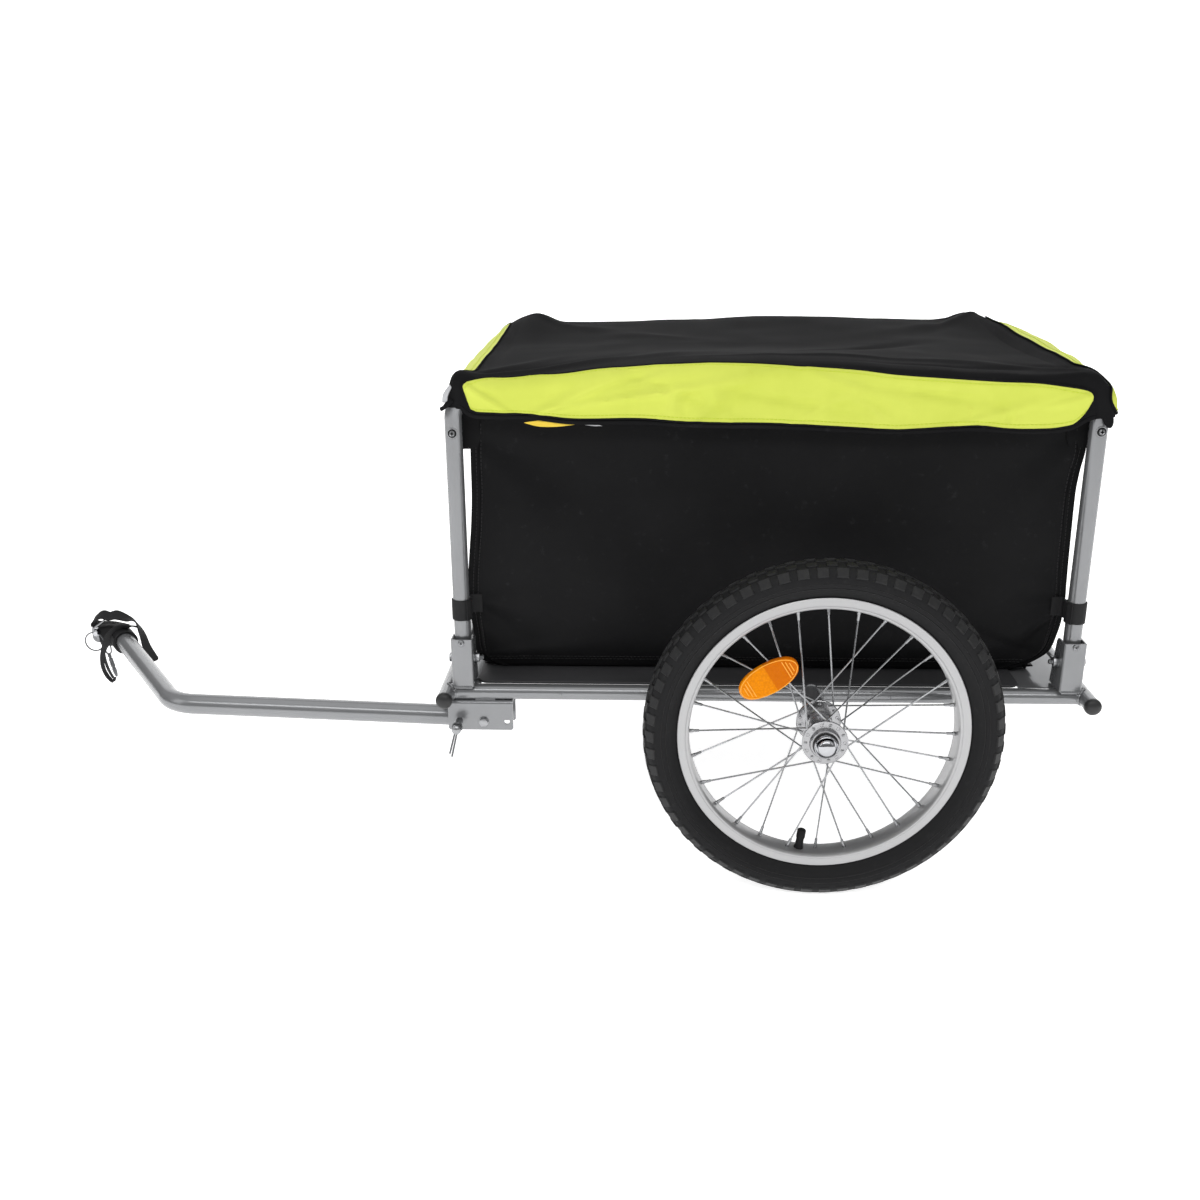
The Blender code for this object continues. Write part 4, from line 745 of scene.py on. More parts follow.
def tread_block(centre, angle, spread, low, high):
    """A rubber block on the tread between two points of the section, tapered to its top."""
    bm = bmesh.new()
    middle_a, middle_r = (low[0] + high[0]) / 2, (low[1] + high[1]) / 2
    tilt = math.atan2(low[1] - high[1], abs(high[0] - low[0])) * (1 if high[0] >= low[0] else -1)
    out_a, out_r = math.sin(tilt), math.cos(tilt)
    for lift, share in ((-0.001, 1.0), (BLOCK_RISE * 0.7, 0.96), (BLOCK_RISE, 0.86)):
        for turn in (-0.5, 0.0, 0.5):
            for end in (low, high):
                a = middle_a + (end[0] - middle_a) * share + out_a * lift
                r = middle_r + (end[1] - middle_r) * share + out_r * lift
                bearing = angle + turn * spread * share
                spot = Vector((math.cos(bearing) * r, a, math.sin(bearing) * r))
                bm.verts.new(centre + spot)
    bmesh.ops.convex_hull(bm, input=bm.verts)
    bmesh.ops.dissolve_limit(bm, angle_limit=0.01, verts=bm.verts, edges=bm.edges)
    return bm


rubber = Finish("black_tyre_rubber", srgb(34, 34, 35), 0.62, Specular_IOR_Level=0.1)
bloom = rubber.noise(16, 4, 0.6)
dust = rubber.ramp(rubber.noise(90, 5, 0.7), 0.55, 0.8)
rubber.colour(rubber.mix(dust * 0.5, rubber.mix(bloom, srgb(29, 29, 30), srgb(37, 37, 38)), srgb(52, 52, 52)))
rubber.rough(0.5 + bloom * 0.18 + dust * 0.12)
rubber.bump(rubber.noise(1100, 3, 0.6), 0.35, 0.0003)
# The tread blocks and sidewall ribs take a lighter rubber than the casing. This is partly dust and partly a
# painted highlight, so that their tops read as lit.
tread_dust_and_highlight = Finish("tread_rubber_dust_and_painted_highlight", srgb(35, 35, 36), 0.55, Specular_IOR_Level=0.25)
tread_dust_mask = tread_dust_and_highlight.ramp(tread_dust_and_highlight.noise(140, 5, 0.7), 0.45, 0.75)
tread_dust_and_highlight.colour(tread_dust_and_highlight.mix(tread_dust_mask, srgb(31, 31, 32), srgb(44, 44, 44)))
tread_dust_and_highlight.rough(0.48 + tread_dust_mask * 0.2)
tread_dust_and_highlight.bump(tread_dust_and_highlight.noise(1300, 3, 0.6), 0.3, 0.0003)
half = [Vector((a, r, 0)) for a, r in in_metres(TYRE_SIDE + TYRE_CROWN)]
over = smooth_line([Vector((-p.x, p.y, 0)) for p in half] + half[-2::-1], 7)
inside = in_metres(TYRE_INSIDE)
tyre_outline = [(p.x, p.y) for p in over] + inside + [(-a, r) for a, r in inside[-2::-1]]
for side, name in SIDES.items():
    centre = Vector((AXLE_X, side * WHEEL_Y, AXLE_Z))
    blocks = []
    for i in range(LUGS_ROUND):
        angle = math.tau * i / LUGS_ROUND
        half_way = angle + math.pi / LUGS_ROUND
        for hand in (1, -1):
            lug, inner = ([(hand * a, r) for a, r in ends] for ends in (SHOULDER_LUG, INNER_BLOCK))
            blocks.append(tread_block(centre, angle, LUG_ARC, *lug))
            blocks.append(tread_block(centre, half_way, INNER_ARC, *inner))
        blocks.append(tread_block(centre, angle, CROWN_ARC, *CROWN_BLOCK))
    for radius, reach in SIDE_RIBS:
        for hand in (1, -1):
            rib = [(reach, radius - 0.0006), (reach + 0.0007, radius), (reach, radius + 0.0006)]
            blocks.append(turned([(hand * a, r) for a, r in rib], centre, Y, 96, closed=True))
    tyre = turned(tyre_outline, centre, Y, 144, closed=True)
    for part, bm, finish in (("casing", tyre, rubber), ("tread", join(*blocks), tread_dust_and_highlight)):
        piece = make_object(f"tyre_{part}_{name}", bm, finish, sharp=32)
        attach(piece, f"wheel_{name}")
        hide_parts(f"tyre_{name}")

# Rims
# Single-wall aluminium rims, rolled and welded, with flat machined sides. A rubber valve
# stem with a screwed cap stands through each rim.
RIM_BED = 0.148
VALVE_BEARING = -97.5
RIM_SIDE = ((10.2, 148.0), (12.6, 148.7), (14.4, 149.8), (15.0, 150.9), (15.0, 152.2), (14.7, 152.5))
RIM_LIP = ((14.7, 152.9), (15.0, 153.2), (15.0, 161.2), (14.6, 161.8), (13.9, 162.0), (13.2, 161.8))
RIM_WELL = ((12.85, 161.2), (12.85, 153.4), (12.3, 152.5), (9.0, 152.3), (6.0, 150.6), (0.0, 150.4))


def brushed(name, colour, roughness, metallic=1.0):
    """Metal with fine turning marks that run round the wheel's axle."""
    metal = Finish(name, srgb(*colour), roughness, Metallic=metallic)
    centred = metal.node("VectorMath", {0: metal.at, 1: (AXLE_X, 0, AXLE_Z)}, operation="SUBTRACT")
    x, y, z = (metal.node("SeparateXYZ", {0: centred}, output=i) for i in range(3))
    lines = metal.node("CombineXYZ", {"X": (x * x + z * z) ** 0.5, "Y": y})
    marks = metal.noise(2200, 2, 0.5, lines)
    cloud = metal.noise(26, 3, 0.5)
    dark, pale = (srgb(*(min(255, c + step) for c in colour)) for step in (-16, 12))
    metal.colour(metal.mix(marks * 0.5 + cloud * 0.5, dark, pale))
    metal.rough(roughness - 0.07 + cloud * 0.14)
    metal.bump(marks, 0.12, 0.00015)
    return metal


rim_alloy = brushed("machined_rim_aluminium", (176, 176, 177), 0.34, 0.75)
for side, name in SIDES.items():
    centre = Vector((AXLE_X, side * WHEEL_Y, AXLE_Z))
    half = in_metres(RIM_SIDE + RIM_LIP + RIM_WELL)
    rim = turned(half + [(-a, r) for a, r in half[-2::-1]], centre, Y, 144, closed=True)
    piece = make_object(f"wheel_rim_{name}", rim, rim_alloy, sharp=28)
    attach(piece, f"wheel_{name}")
    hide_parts(f"rim_{name}")

    bearing = math.radians(VALVE_BEARING)
    inward = Vector((-math.cos(bearing), 0, -math.sin(bearing)))
    foot = centre - inward * RIM_BED
    stem = [(-0.001, 0), (-0.001, 0.0056), (0.0018, 0.0054), (0.003, 0.0048), (0.012, 0.0043)]
    cap = [(0.0125, 0.0047), (0.0145, 0.0051), (0.0225, 0.005), (0.0236, 0.0042), (0.024, 0.0022)]
    valve = turned(stem + cap + [(0.024, 0)], foot, inward, 24)
    piece = make_object(f"tyre_valve_{name}", valve, rubber)
    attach(piece, f"wheel_{name}")

# Hubs and spokes
# A polished aluminium hub with two drilled flanges, laced with 28 crossed steel spokes. Each
# spoke hooks through its flange hole by its head and screws into a nipple in the rim.
FLANGE_SPACING = 0.059
FLANGE_HOLES = 0.0215
SPOKES = 28
SPOKE_CROSS = 2
SPOKE_RADIUS = 0.001
SPOKE_STAGGER = 0.0024
ELBOW = 0.0022
SPOKE_HEAD = ((0, 0.0018), (0.0005, 0.0017), (0.0009, 0.001), (0.001, 0))
HOLE_EDGE = ((0, 0.0016), (0, 0.0021), (0.00025, 0.0019), (0.0003, 0.0016))
FLANGE_FACES = ((0.031, 1), (0.028, -1))
NIPPLE = ((0.0, 0.0021), (0.0044, 0.0021), (0.005, 0.0017), (0.0112, 0.0016), (0.0118, 0.0011))
HUB_HALF = (
    (0.0, 11.6), (10.0, 11.8), (17.0, 12.6), (17.6, 14.2), (19.6, 14.2), (20.2, 13.0), (23.5, 13.6),
    (26.4, 15.2), (28.0, 18.2), (28.1, 24.8), (28.6, 25.5), (30.4, 25.5), (30.9, 24.9), (31.0, 19.0),
    (31.5, 17.4), (33.2, 16.6), (36.4, 16.4), (37.0, 15.8), (37.0, 14.0), (36.2, 13.4), (36.2, 6.4),
)  # fmt: skip


def spoke_ends(index, side, centre):
    """The hub end and rim end of a spoke: even ones leave the outer flange."""
    flange = side if index % 2 == 0 else -side
    leading = 1 if index // 2 % 2 == 0 else -1
    rim_angle = math.tau * index / SPOKES
    hub_angle = rim_angle + leading * SPOKE_CROSS * math.tau * 2 / SPOKES
    hub_y = flange * FLANGE_SPACING / 2 + side * leading * SPOKE_STAGGER / 2

    def at(angle, radius, y):
        return centre + Vector((math.cos(angle) * radius, y, math.sin(angle) * radius))

    return at(hub_angle, FLANGE_HOLES, hub_y), at(rim_angle, RIM_BED, flange * 0.002), side * leading


hub_alloy = brushed("polished_hub_aluminium", (164, 164, 166), 0.22, 0.9)
spoke_steel = zinc("stainless_spoke_steel", (158, 159, 161), 0.26)
for side, name in SIDES.items():
    centre = Vector((AXLE_X, side * WHEEL_Y, AXLE_Z))
    half = in_metres(HUB_HALF)
    shell = turned([(-a, r) for a, r in half[:0:-1]] + half, centre, Y, 64, closed=True)
    dots = []
    lacing = []
    for index in range(SPOKES):
        start, end, lift = spoke_ends(index, side, centre)
        along = (end - start).normalized()
        elbow = [start - Y * lift * 0.0034, start - Y * lift * 0.001, start + along * ELBOW]
        line = smooth_line(elbow, 4) + [end - along * 0.006]
        lacing.append(sweep(line, ring_section(SPOKE_RADIUS)))
        lacing.append(turned(NIPPLE, end, -along, 12))
        lacing.append(turned(SPOKE_HEAD, start - Y * lift * 0.0027, -Y * lift, 12))
        hole = Vector((start.x, 0, start.z))
        for flange in (1, -1):
            if (start.y - centre.y) * flange > 0:
                for face, out in FLANGE_FACES:
                    spot = hole + Y * (centre.y + flange * face)
                    dots.append(turned(HOLE_EDGE, spot, Y * flange * out, 12, closed=True))
    piece = make_object(f"hub_shell_{name}", join(shell, *dots), hub_alloy, sharp=30)
    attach(piece, f"wheel_{name}")
    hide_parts(f"hub_and_spokes_{name}")
    piece = make_object(f"spokes_and_nipples_{name}", join(*lacing), spoke_steel)
    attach(piece, f"wheel_{name}")
    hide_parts(f"hub_and_spokes_{name}")

# Quick-release axles
# A polished steel axle with a turned cup for a head. The chromed button in the cup is
# domed, and a black rubber seal closes the gap between the cup and the hub.
AXLE_RADIUS = 0.006
HEAD_FOOT = 0.0373
HEAD_RADIUS = 0.0131
CUP_RIM = 0.0443
CUP_FLOOR = 0.0403
CUP_BORE = 0.0112
AXLE_TIP = -0.1215
AXLE_GROOVE = 0.0005
DOME_FOOT, DOME_HEIGHT = 0.0452, 0.0047
DOME_RADIUS = 0.0098
SEAL = ((37.2, 12.9), (37.2, 14.0), (38.0, 14.3), (39.0, 13.9), (39.2, 13.5), (38.6, 12.9))

chrome = Finish("polished_chrome", srgb(180, 181, 184), 0.07, Metallic=1.0)
haze = chrome.noise(150, 3)
chrome.colour(chrome.mix(haze, srgb(168, 169, 172), srgb(190, 191, 194)))
chrome.rough(0.05 + haze * 0.07)
for side, name in SIDES.items():
    out = Y * side
    centre = Vector((AXLE_X, side * WHEEL_Y, AXLE_Z))
    outline = [
        (AXLE_TIP, 0), (AXLE_TIP, 0.0036), (AXLE_TIP + 0.0022, AXLE_RADIUS), (AXLE_TIP + 0.0085, AXLE_RADIUS),
        (AXLE_TIP + 0.009, AXLE_RADIUS - AXLE_GROOVE), (AXLE_TIP + 0.0105, AXLE_RADIUS - AXLE_GROOVE),
        (AXLE_TIP + 0.011, AXLE_RADIUS), (HEAD_FOOT, AXLE_RADIUS), (HEAD_FOOT, HEAD_RADIUS - 0.0006),
        (HEAD_FOOT + 0.0005, HEAD_RADIUS), (CUP_RIM - 0.0012, HEAD_RADIUS),
        (CUP_RIM - 0.0003, HEAD_RADIUS - 0.0005), (CUP_RIM, HEAD_RADIUS - 0.001),
        (CUP_RIM - 0.0004, CUP_BORE + 0.0002), (CUP_RIM - 0.0009, CUP_BORE),
        (CUP_FLOOR, CUP_BORE), (CUP_FLOOR, 0),
    ]  # fmt: skip
    piece = make_object(f"wheel_axle_{name}", turned(outline, centre, out, 64), chrome, sharp=30)
    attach(piece, f"axle_{name}")
    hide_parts(f"axle_{name}")
    dome = [(CUP_FLOOR + 0.0035, 0), (CUP_FLOOR + 0.0035, 0.0094), (CUP_FLOOR + 0.0039, DOME_RADIUS)]
    for step in range(15):
        angle = math.radians(90 * step / 14)
        dome.append((DOME_FOOT + DOME_HEIGHT * math.sin(angle), DOME_RADIUS * math.cos(angle) ** 0.9))
    piece = make_object(f"push_button_{name}", turned(dome, centre, out, 64), chrome, sharp=30)
    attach(piece, f"button_{name}")
    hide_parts(f"release_button_{name}")
    ring = turned(in_metres(SEAL), centre, out, 64, closed=True)
    piece = make_object(f"hub_seal_{name}", ring, black_plastic)
    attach(piece, f"wheel_{name}")

# Wheel reflectors
# An oval amber reflector on each wheel, clipped to two outer spokes. Its face is moulded over
# rows of tiny prisms, inside a clear raised lip, with a ribbed pad at each end.
REFLECTOR_LONG = 0.0355
REFLECTOR_SHORT = 0.0172
REFLECTOR_PLACE = 0.0955
REFLECTOR_BEARING = 131.5
REFLECTOR_LEAN = 32.0
PRISM = 0.0024
REFLECTOR_RINGS = ((0, 0.985), (0.0006, 1.0), (0.0048, 1.0), (0.0062, 0.985), (0.0068, 0.94), (0.007, 0.86))
LIP_SHARE = 0.955
PAD_RIBS = ((0.0215, 0.0105), (0.0249, 0.0085), (0.0283, 0.0055))
RIB_SECTION = ((-0.0007, -0.0004), (0.0007, -0.0004), (0.0004, 0.0006), (-0.0004, 0.0006))
CLIP_PLACE = 0.0245
CLIP_HALF = Vector((0.003, 0.0011, 0.0085))
slope, bearing = math.radians(REFLECTOR_LEAN), math.radians(REFLECTOR_BEARING)
long, short = Vector((math.cos(slope), 0, math.sin(slope))), Vector((-math.sin(slope), 0, math.cos(slope)))
lean = Matrix.Rotation(slope, 4, Y)
spot = Vector((math.cos(bearing), 0, math.sin(bearing))) * REFLECTOR_PLACE + Vector((AXLE_X, 0, AXLE_Z))


def oval(share, fullness=1.0, sides=64):
    """Points round the reflector's outline, at a share of its size."""
    points = []
    for i in range(sides):
        angle = math.tau * i / sides
        a, b = (math.copysign(abs(part) ** fullness, part) for part in (math.cos(angle), math.sin(angle)))
        points.append((long * a * REFLECTOR_LONG + short * b * REFLECTOR_SHORT) * share)
    return points


amber = Finish("amber_reflector_plastic", srgb(226, 126, 6), 0.2, Specular_IOR_Level=0.06)
from_middle = amber.node("VectorMath", {0: amber.at, 1: tuple(spot)}, operation="SUBTRACT")
ahead, height = (amber.node("SeparateXYZ", {0: from_middle}, output=i) for i in (0, 2))
# Painted light: the near half of the face is painted lighter and the far half darker, as though the prisms
# there catch and lose the light.
painted_shade_half = amber.ramp(ahead * math.cos(slope) + height * math.sin(slope), 0.001, 0.003)
prisms = amber.cells(1 / PRISM, amber.turned(REFLECTOR_LEAN, 1, 1, 1))
lit = amber.mix(painted_shade_half, srgb(240, 146, 4), srgb(212, 112, 2))
amber.colour(amber.mix(prisms * 0.5, lit, srgb(196, 92, 2)))
amber.rough(0.12 + prisms * 0.12)
amber.bump(prisms, 0.25, 0.0005)
clear_amber = Finish("clear_amber_plastic", srgb(250, 176, 60), 0.15, Specular_IOR_Level=0.3)
for side, name in SIDES.items():
    low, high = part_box(f"reflector_{name}")
    middle = spot + Y * (low[1] if side > 0 else high[1])
    out = Y * side
    bm = bmesh.new()
    rings = []
    for depth, share in REFLECTOR_RINGS:
        rings.append([bm.verts.new(middle + p + out * depth) for p in oval(share, 0.9)])
    clad(bm, rings)
    lip = [middle + p + out * 0.0066 for p in oval(LIP_SHARE)]
    extras = [sweep(lip, ring_section(0.00055, 6), closed=True)]
    for hand in (1, -1):
        for away, half in PAD_RIBS:
            place = middle + long * hand * away + out * 0.0069
            line = [place + short * half * t for t in (-1, -0.5, 0, 0.5, 1)]
            extras.append(sweep(line, RIB_SECTION, across=out))
        place = Matrix.Translation(middle + long * hand * CLIP_PLACE + out * 0.0002) @ lean.inverted()
        clip = box(-CLIP_HALF, CLIP_HALF, 0.0008)
        bmesh.ops.transform(clip, matrix=place, verts=clip.verts)
        extras.append(clip)
    ribs = make_object(f"reflector_clear_edge_{name}", join(*extras), clear_amber, sharp=30)
    body = make_object(f"spoke_reflector_{name}", bm, amber, sharp=30)
    for piece in (body, ribs):
        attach(piece, f"wheel_{name}")
        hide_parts(f"reflector_{name}")

# Bag side panels
# The bag is sewn from black coated polyester. Each side panel leans out to the top rail, and
# its end seams stand out as flat stitched flanges that the corner straps pull on.
CLOTH = 0.0016
BAG_TOP = 0.552
BAG_BOTTOM = 0.2158
SEAM_IN = 0.0098
STITCH, STITCH_GAP = 0.0032, 0.0014
STITCH_PROUD, STITCH_SUNK = 0.0003, 0.0001
BAG_LEAN = ((0.0, 0.195), (0.12, 0.2118), (0.28, 0.2238), (0.5, 0.2322), (0.75, 0.2345), (1.0, 0.235))
BAG_FRONT = (
    (0.2158, -0.056), (0.22, -0.069), (0.229, -0.0765), (0.245, -0.0795), (0.262, -0.0797),
    (0.283, -0.0812), (0.307, -0.0832), (0.33, -0.0826), (0.371, -0.0785), (0.405, -0.0748),
    (0.443, -0.0724), (0.484, -0.0718), (0.552, -0.07),
)  # fmt: skip
BAG_REAR = (
    (0.2158, 0.58), (0.2217, 0.593), (0.2352, 0.6111), (0.2458, 0.618), (0.264, 0.6212),
    (0.285, 0.6235), (0.3127, 0.6234), (0.33, 0.622), (0.374, 0.6192), (0.443, 0.6172),
    (0.47, 0.619), (0.495, 0.6225), (0.552, 0.6215),
)  # fmt: skip
BAG_FOLDS = (
    (-0.078, 0.312, -12, 0.1, 0.016, 0.0035), (-0.078, 0.306, -38, 0.12, 0.015, -0.0032),
    (-0.078, 0.3, -62, 0.1, 0.014, 0.0038), (-0.072, 0.318, 24, 0.13, 0.018, -0.0029),
    (-0.066, 0.5, -48, 0.15, 0.02, 0.0032), (-0.066, 0.51, -24, 0.14, 0.018, -0.0026),
    (0.62, 0.312, 190, 0.11, 0.015, -0.0035), (0.62, 0.304, 216, 0.14, 0.014, 0.0048),
    (0.62, 0.298, 238, 0.13, 0.013, -0.0042), (0.618, 0.292, 256, 0.09, 0.011, 0.0042),
    (0.62, 0.32, 158, 0.12, 0.018, 0.0029), (0.619, 0.505, 232, 0.16, 0.019, 0.0038),
    (0.619, 0.512, 206, 0.15, 0.018, -0.0029), (0.56, 0.232, 172, 0.2, 0.012, 0.0032),
    (0.585, 0.246, 160, 0.15, 0.01, -0.0029), (-0.05, 0.236, 6, 0.16, 0.011, 0.0026),
)  # fmt: skip


def between(table, at):
    """Reads the smooth curve that a table of (at, value) stands for."""
    if at <= table[0][0]:
        return table[0][1]
    for i, ((a, low), (b, high)) in enumerate(zip(table, table[1:])):
        if at <= b:
            before, after = table[max(i - 1, 0)], table[min(i + 2, len(table) - 1)]
            t, span = (at - a) / (b - a), b - a
            slope_a = (high - before[1]) / (b - before[0]) * span
            slope_b = (after[1] - low) / (after[0] - a) * span
            rise = low * (2 * t**3 - 3 * t * t + 1) + high * (3 * t * t - 2 * t**3)
            return rise + slope_a * (t**3 - 2 * t * t + t) + slope_b * (t**3 - t * t)
    return table[-1][1]


def clamp(value):
    return min(1.0, max(0.0, value))


def hump(value, middle, width):
    """1 at the middle, and dying out over the width on both sides."""
    return math.exp(-(((value - middle) / width) ** 2))


def crease(x, z, x0, z0, degrees, length, width, height):
    """How far one fold lifts the cloth at (x, z): it runs from (x0, z0) and dies out."""
    angle = math.radians(degrees)
    along = (x - x0) * math.cos(angle) + (z - z0) * math.sin(angle)
    across = (z - z0) * math.cos(angle) - (x - x0) * math.sin(angle)
    spread = width * (0.5 + max(along, 0.0) / length)
    return height * hump(along, length * 0.3, length * 0.5) * hump(across, 0.0, spread)


def bag_width(z):
    return between(BAG_LEAN, (z - BAG_BOTTOM) / (BAG_TOP - BAG_BOTTOM))


def bag_skin(side, x, z):
    """The outer face of a side panel at (x, z), with its sag, folds and seams."""
    edge = min(x - between(BAG_FRONT, z), between(BAG_REAR, z) - x)
    height = (z - BAG_BOTTOM) / (BAG_TOP - BAG_BOTTOM)
    loose = clamp(edge / 0.12) * math.sin(math.pi * max(0.04, clamp(height)))
    soft = noise.noise(Vector((x * 5.5, side * 2.3, z * 7.0))) * 0.0042 * loose
    soft += noise.noise(Vector((x * 15, side * 5.1 + 3, z * 13))) * 0.0012 * (0.35 + loose)
    folds = sum(crease(x, z, *fold) for fold in BAG_FOLDS)
    puff = 0.001 * hump(edge, SEAM_IN + 0.004, 0.003)
    groove = -0.0014 * hump(edge, SEAM_IN, 0.0011)
    flat = -0.0008 if edge < SEAM_IN else 0.0
    hold = 0.35 if edge < SEAM_IN else 1.0
    return Vector((x, side * (bag_width(z) + (soft + folds) * hold + puff + groove + flat), z))


def cloth_grid(columns, rows, place):
    """A grid of cloth: place puts each point from its shares, 0 to 1, along the two sides."""
    bm = bmesh.new()
    bmesh.ops.create_grid(bm, x_segments=columns, y_segments=rows, size=1.0)
    for v in bm.verts:
        v.co = place((v.co.x + 1) / 2, (v.co.y + 1) / 2)
    return bm


def thicken(bm, thickness, face, outward):
    """Turns all the faces so that one of them faces outward, and adds a wall inside them."""
    bmesh.ops.recalc_face_normals(bm, faces=bm.faces)
    if face.normal.dot(outward) < 0:
        bmesh.ops.reverse_faces(bm, faces=bm.faces)
    bmesh.ops.solidify(bm, geom=bm.faces[:], thickness=thickness)


def stitch_row(line, out, size=0.0005):
    """A row of sewn stitches along a line of points on the cloth."""
    line = [Vector(p) for p in line]
    ends, total = [0.0], 0.0
    for a, b in zip(line, line[1:]):
        total += (b - a).length
        ends.append(total)

    def spot(distance):
        for i, end in enumerate(ends[1:]):
            if distance <= end or i == len(ends) - 2:
                share = (distance - ends[i]) / max(end - ends[i], 1e-9)
                return line[i].lerp(line[i + 1], share)

    row = []
    section = [(0, -size), (-size, -size * 0.5), (-size, size * 0.5), (0, size)]
    start = 0.0
    while start + STITCH < total:
        lifts = (0, -STITCH_SUNK), (0.5, STITCH_PROUD), (1, -STITCH_SUNK)
        path = [spot(start + STITCH * share) + out * lift for share, lift in lifts]
        row.append(sweep(path, section, across=-out))
        start += STITCH + STITCH_GAP
    return row


def weave(cloth, strength, depth):
    """A fine plain weave."""
    warp = cloth.noise(1500, 2, 0.5, cloth.stretched(1, 1, 0.22))
    weft = cloth.noise(1500, 2, 0.5, cloth.stretched(0.22, 0.22, 1))
    cloth.bump(warp * 0.5 + weft * 0.5, strength, depth)


def black_cloth(name, colour, roughness, shine, cloud_scale=5, clouds=(-4, 6)):
    """Black coated polyester: a fine plain weave under a dull coating."""
    cloth = Finish(name, srgb(*colour), roughness, Specular_IOR_Level=shine)
    cloud = cloth.noise(cloud_scale, 3, 0.55)
    rub = cloth.ramp(cloth.noise(70, 5, 0.7), 0.58, 0.8)
    dark, pale = (srgb(*(max(0, c + step) for c in colour)) for step in clouds)
    cloth.colour(cloth.mix(rub * 0.22, cloth.mix(cloud, dark, pale), srgb(70, 70, 72)))
    cloth.rough(roughness - 0.06 + cloud * 0.12 + rub * 0.06)
    weave(cloth, 0.35, 0.00035)
    return cloth


bag_cloth = black_cloth("black_bag_polyester", (21, 21, 22), 0.56, 0.05, 6, (-8, 13))
thread_black = black_cloth("black_sewing_thread", (38, 38, 39), 0.55, 0.2)
for side, name in SIDES.items():

    def place(u, t):
        u -= 0.72 * math.sin(math.tau * u) / math.tau
        z = BAG_BOTTOM + (BAG_TOP - BAG_BOTTOM) * (t * 0.72 + t * t * 0.28)
        front, rear = between(BAG_FRONT, z), between(BAG_REAR, z)
        return bag_skin(side, front + (rear - front) * u, z)

    bm = cloth_grid(184, 92, place)
    thicken(bm, CLOTH, bm.faces[:][0], Y * side)
    rows = []
    for table, inward in ((BAG_FRONT, 1), (BAG_REAR, -1)):
        for inset in (0.0066, 0.0126):
            heights = [0.238 + 0.292 * i / 80 for i in range(81)]
            line = [bag_skin(side, between(table, z) + inward * inset, z) for z in heights]
            rows += stitch_row(line, Y * side)
    for height in (0.2262, 0.23):
        start, end = between(BAG_FRONT, height) + 0.014, between(BAG_REAR, height) - 0.014
        line = [bag_skin(side, start + (end - start) * i / 160, height) for i in range(161)]
        rows += stitch_row(line, Y * side)
    panel = make_object(f"bag_side_panel_{name}", bm, bag_cloth, sharp=60)
    sewing = make_object(f"bag_side_stitches_{name}", join(*rows), thread_black)
    for piece in (panel, sewing):
        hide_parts(f"bag_{name}")
        low, high = (0.27, side * 0.205, 0.218), (0.27, side * 0.205, 0.322)
        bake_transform(piece)
        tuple(low)
        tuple(high)

# Bag floor and ends
# One strip of the same cloth runs down the front end, along the load floor and up the rear
# end. It is sewn to the side panels inside their flanges, and lies on the floor board.
END_FRONT = (-0.0622, 0.552), (-0.0628, 0.43), (-0.0655, 0.32), (-0.066, 0.242), (-0.06, 0.2215)
END_REAR = (0.596, 0.2215), (0.607, 0.24), (0.609, 0.32), (0.6068, 0.43), (0.61, 0.552)
FLOOR_RUN = (-0.042, 0.2142), (0.27, 0.2142), (0.576, 0.2142)
strip_line = smooth_line([(x, 0, z) for x, z in END_FRONT + FLOOR_RUN + END_REAR], 20)
last = len(strip_line) - 1


def strip_place(u, share):
    """Where the strip's cloth lies: u runs down the front end, along the floor and up."""
    i = round(u * last)
    middle, t = strip_line[i], 2 * share - 1
    along = (strip_line[min(i + 1, last)] - strip_line[max(i - 1, 0)]).normalized()
    out = Vector((along.z, 0, -along.x))
    upright = clamp((middle.z - 0.225) / 0.05) * clamp((0.556 - middle.z) / 0.08)
    belly = (1 - t * t) * 0.005 * upright * math.sin(math.pi * (middle.z - 0.2) / 0.36)
    wrinkle = noise.noise(Vector((middle.x * 9, t * 2.6, middle.z * 9))) * 0.003 * upright
    ruck = abs(noise.noise(Vector((middle.x * 12, t * 3.5, 7)))) * 0.0022 * (1 - upright)
    y = t * (bag_width(max(middle.z, BAG_BOTTOM)) - 0.0026)
    lift = Z * (ruck + 0.0008 if middle.z < 0.22 else 0)
    return middle + out * (belly + wrinkle * (1 - t**4)) + lift + Y * y


bm = cloth_grid(last, 64, strip_place)
thicken(bm, CLOTH, min(bm.faces, key=lambda face: face.calc_center_median().z), -Z)
low = min(v.co.z for v in bm.verts)
bmesh.ops.translate(bm, verts=bm.verts, vec=Z * max(0.0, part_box("bag_ends_and_floor")[0][2] - low))
piece = make_object("bag_floor_and_ends", bm, bag_cloth, sharp=60)
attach(piece, "base")
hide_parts("bag_ends_and_floor")
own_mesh(piece)
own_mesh(piece)

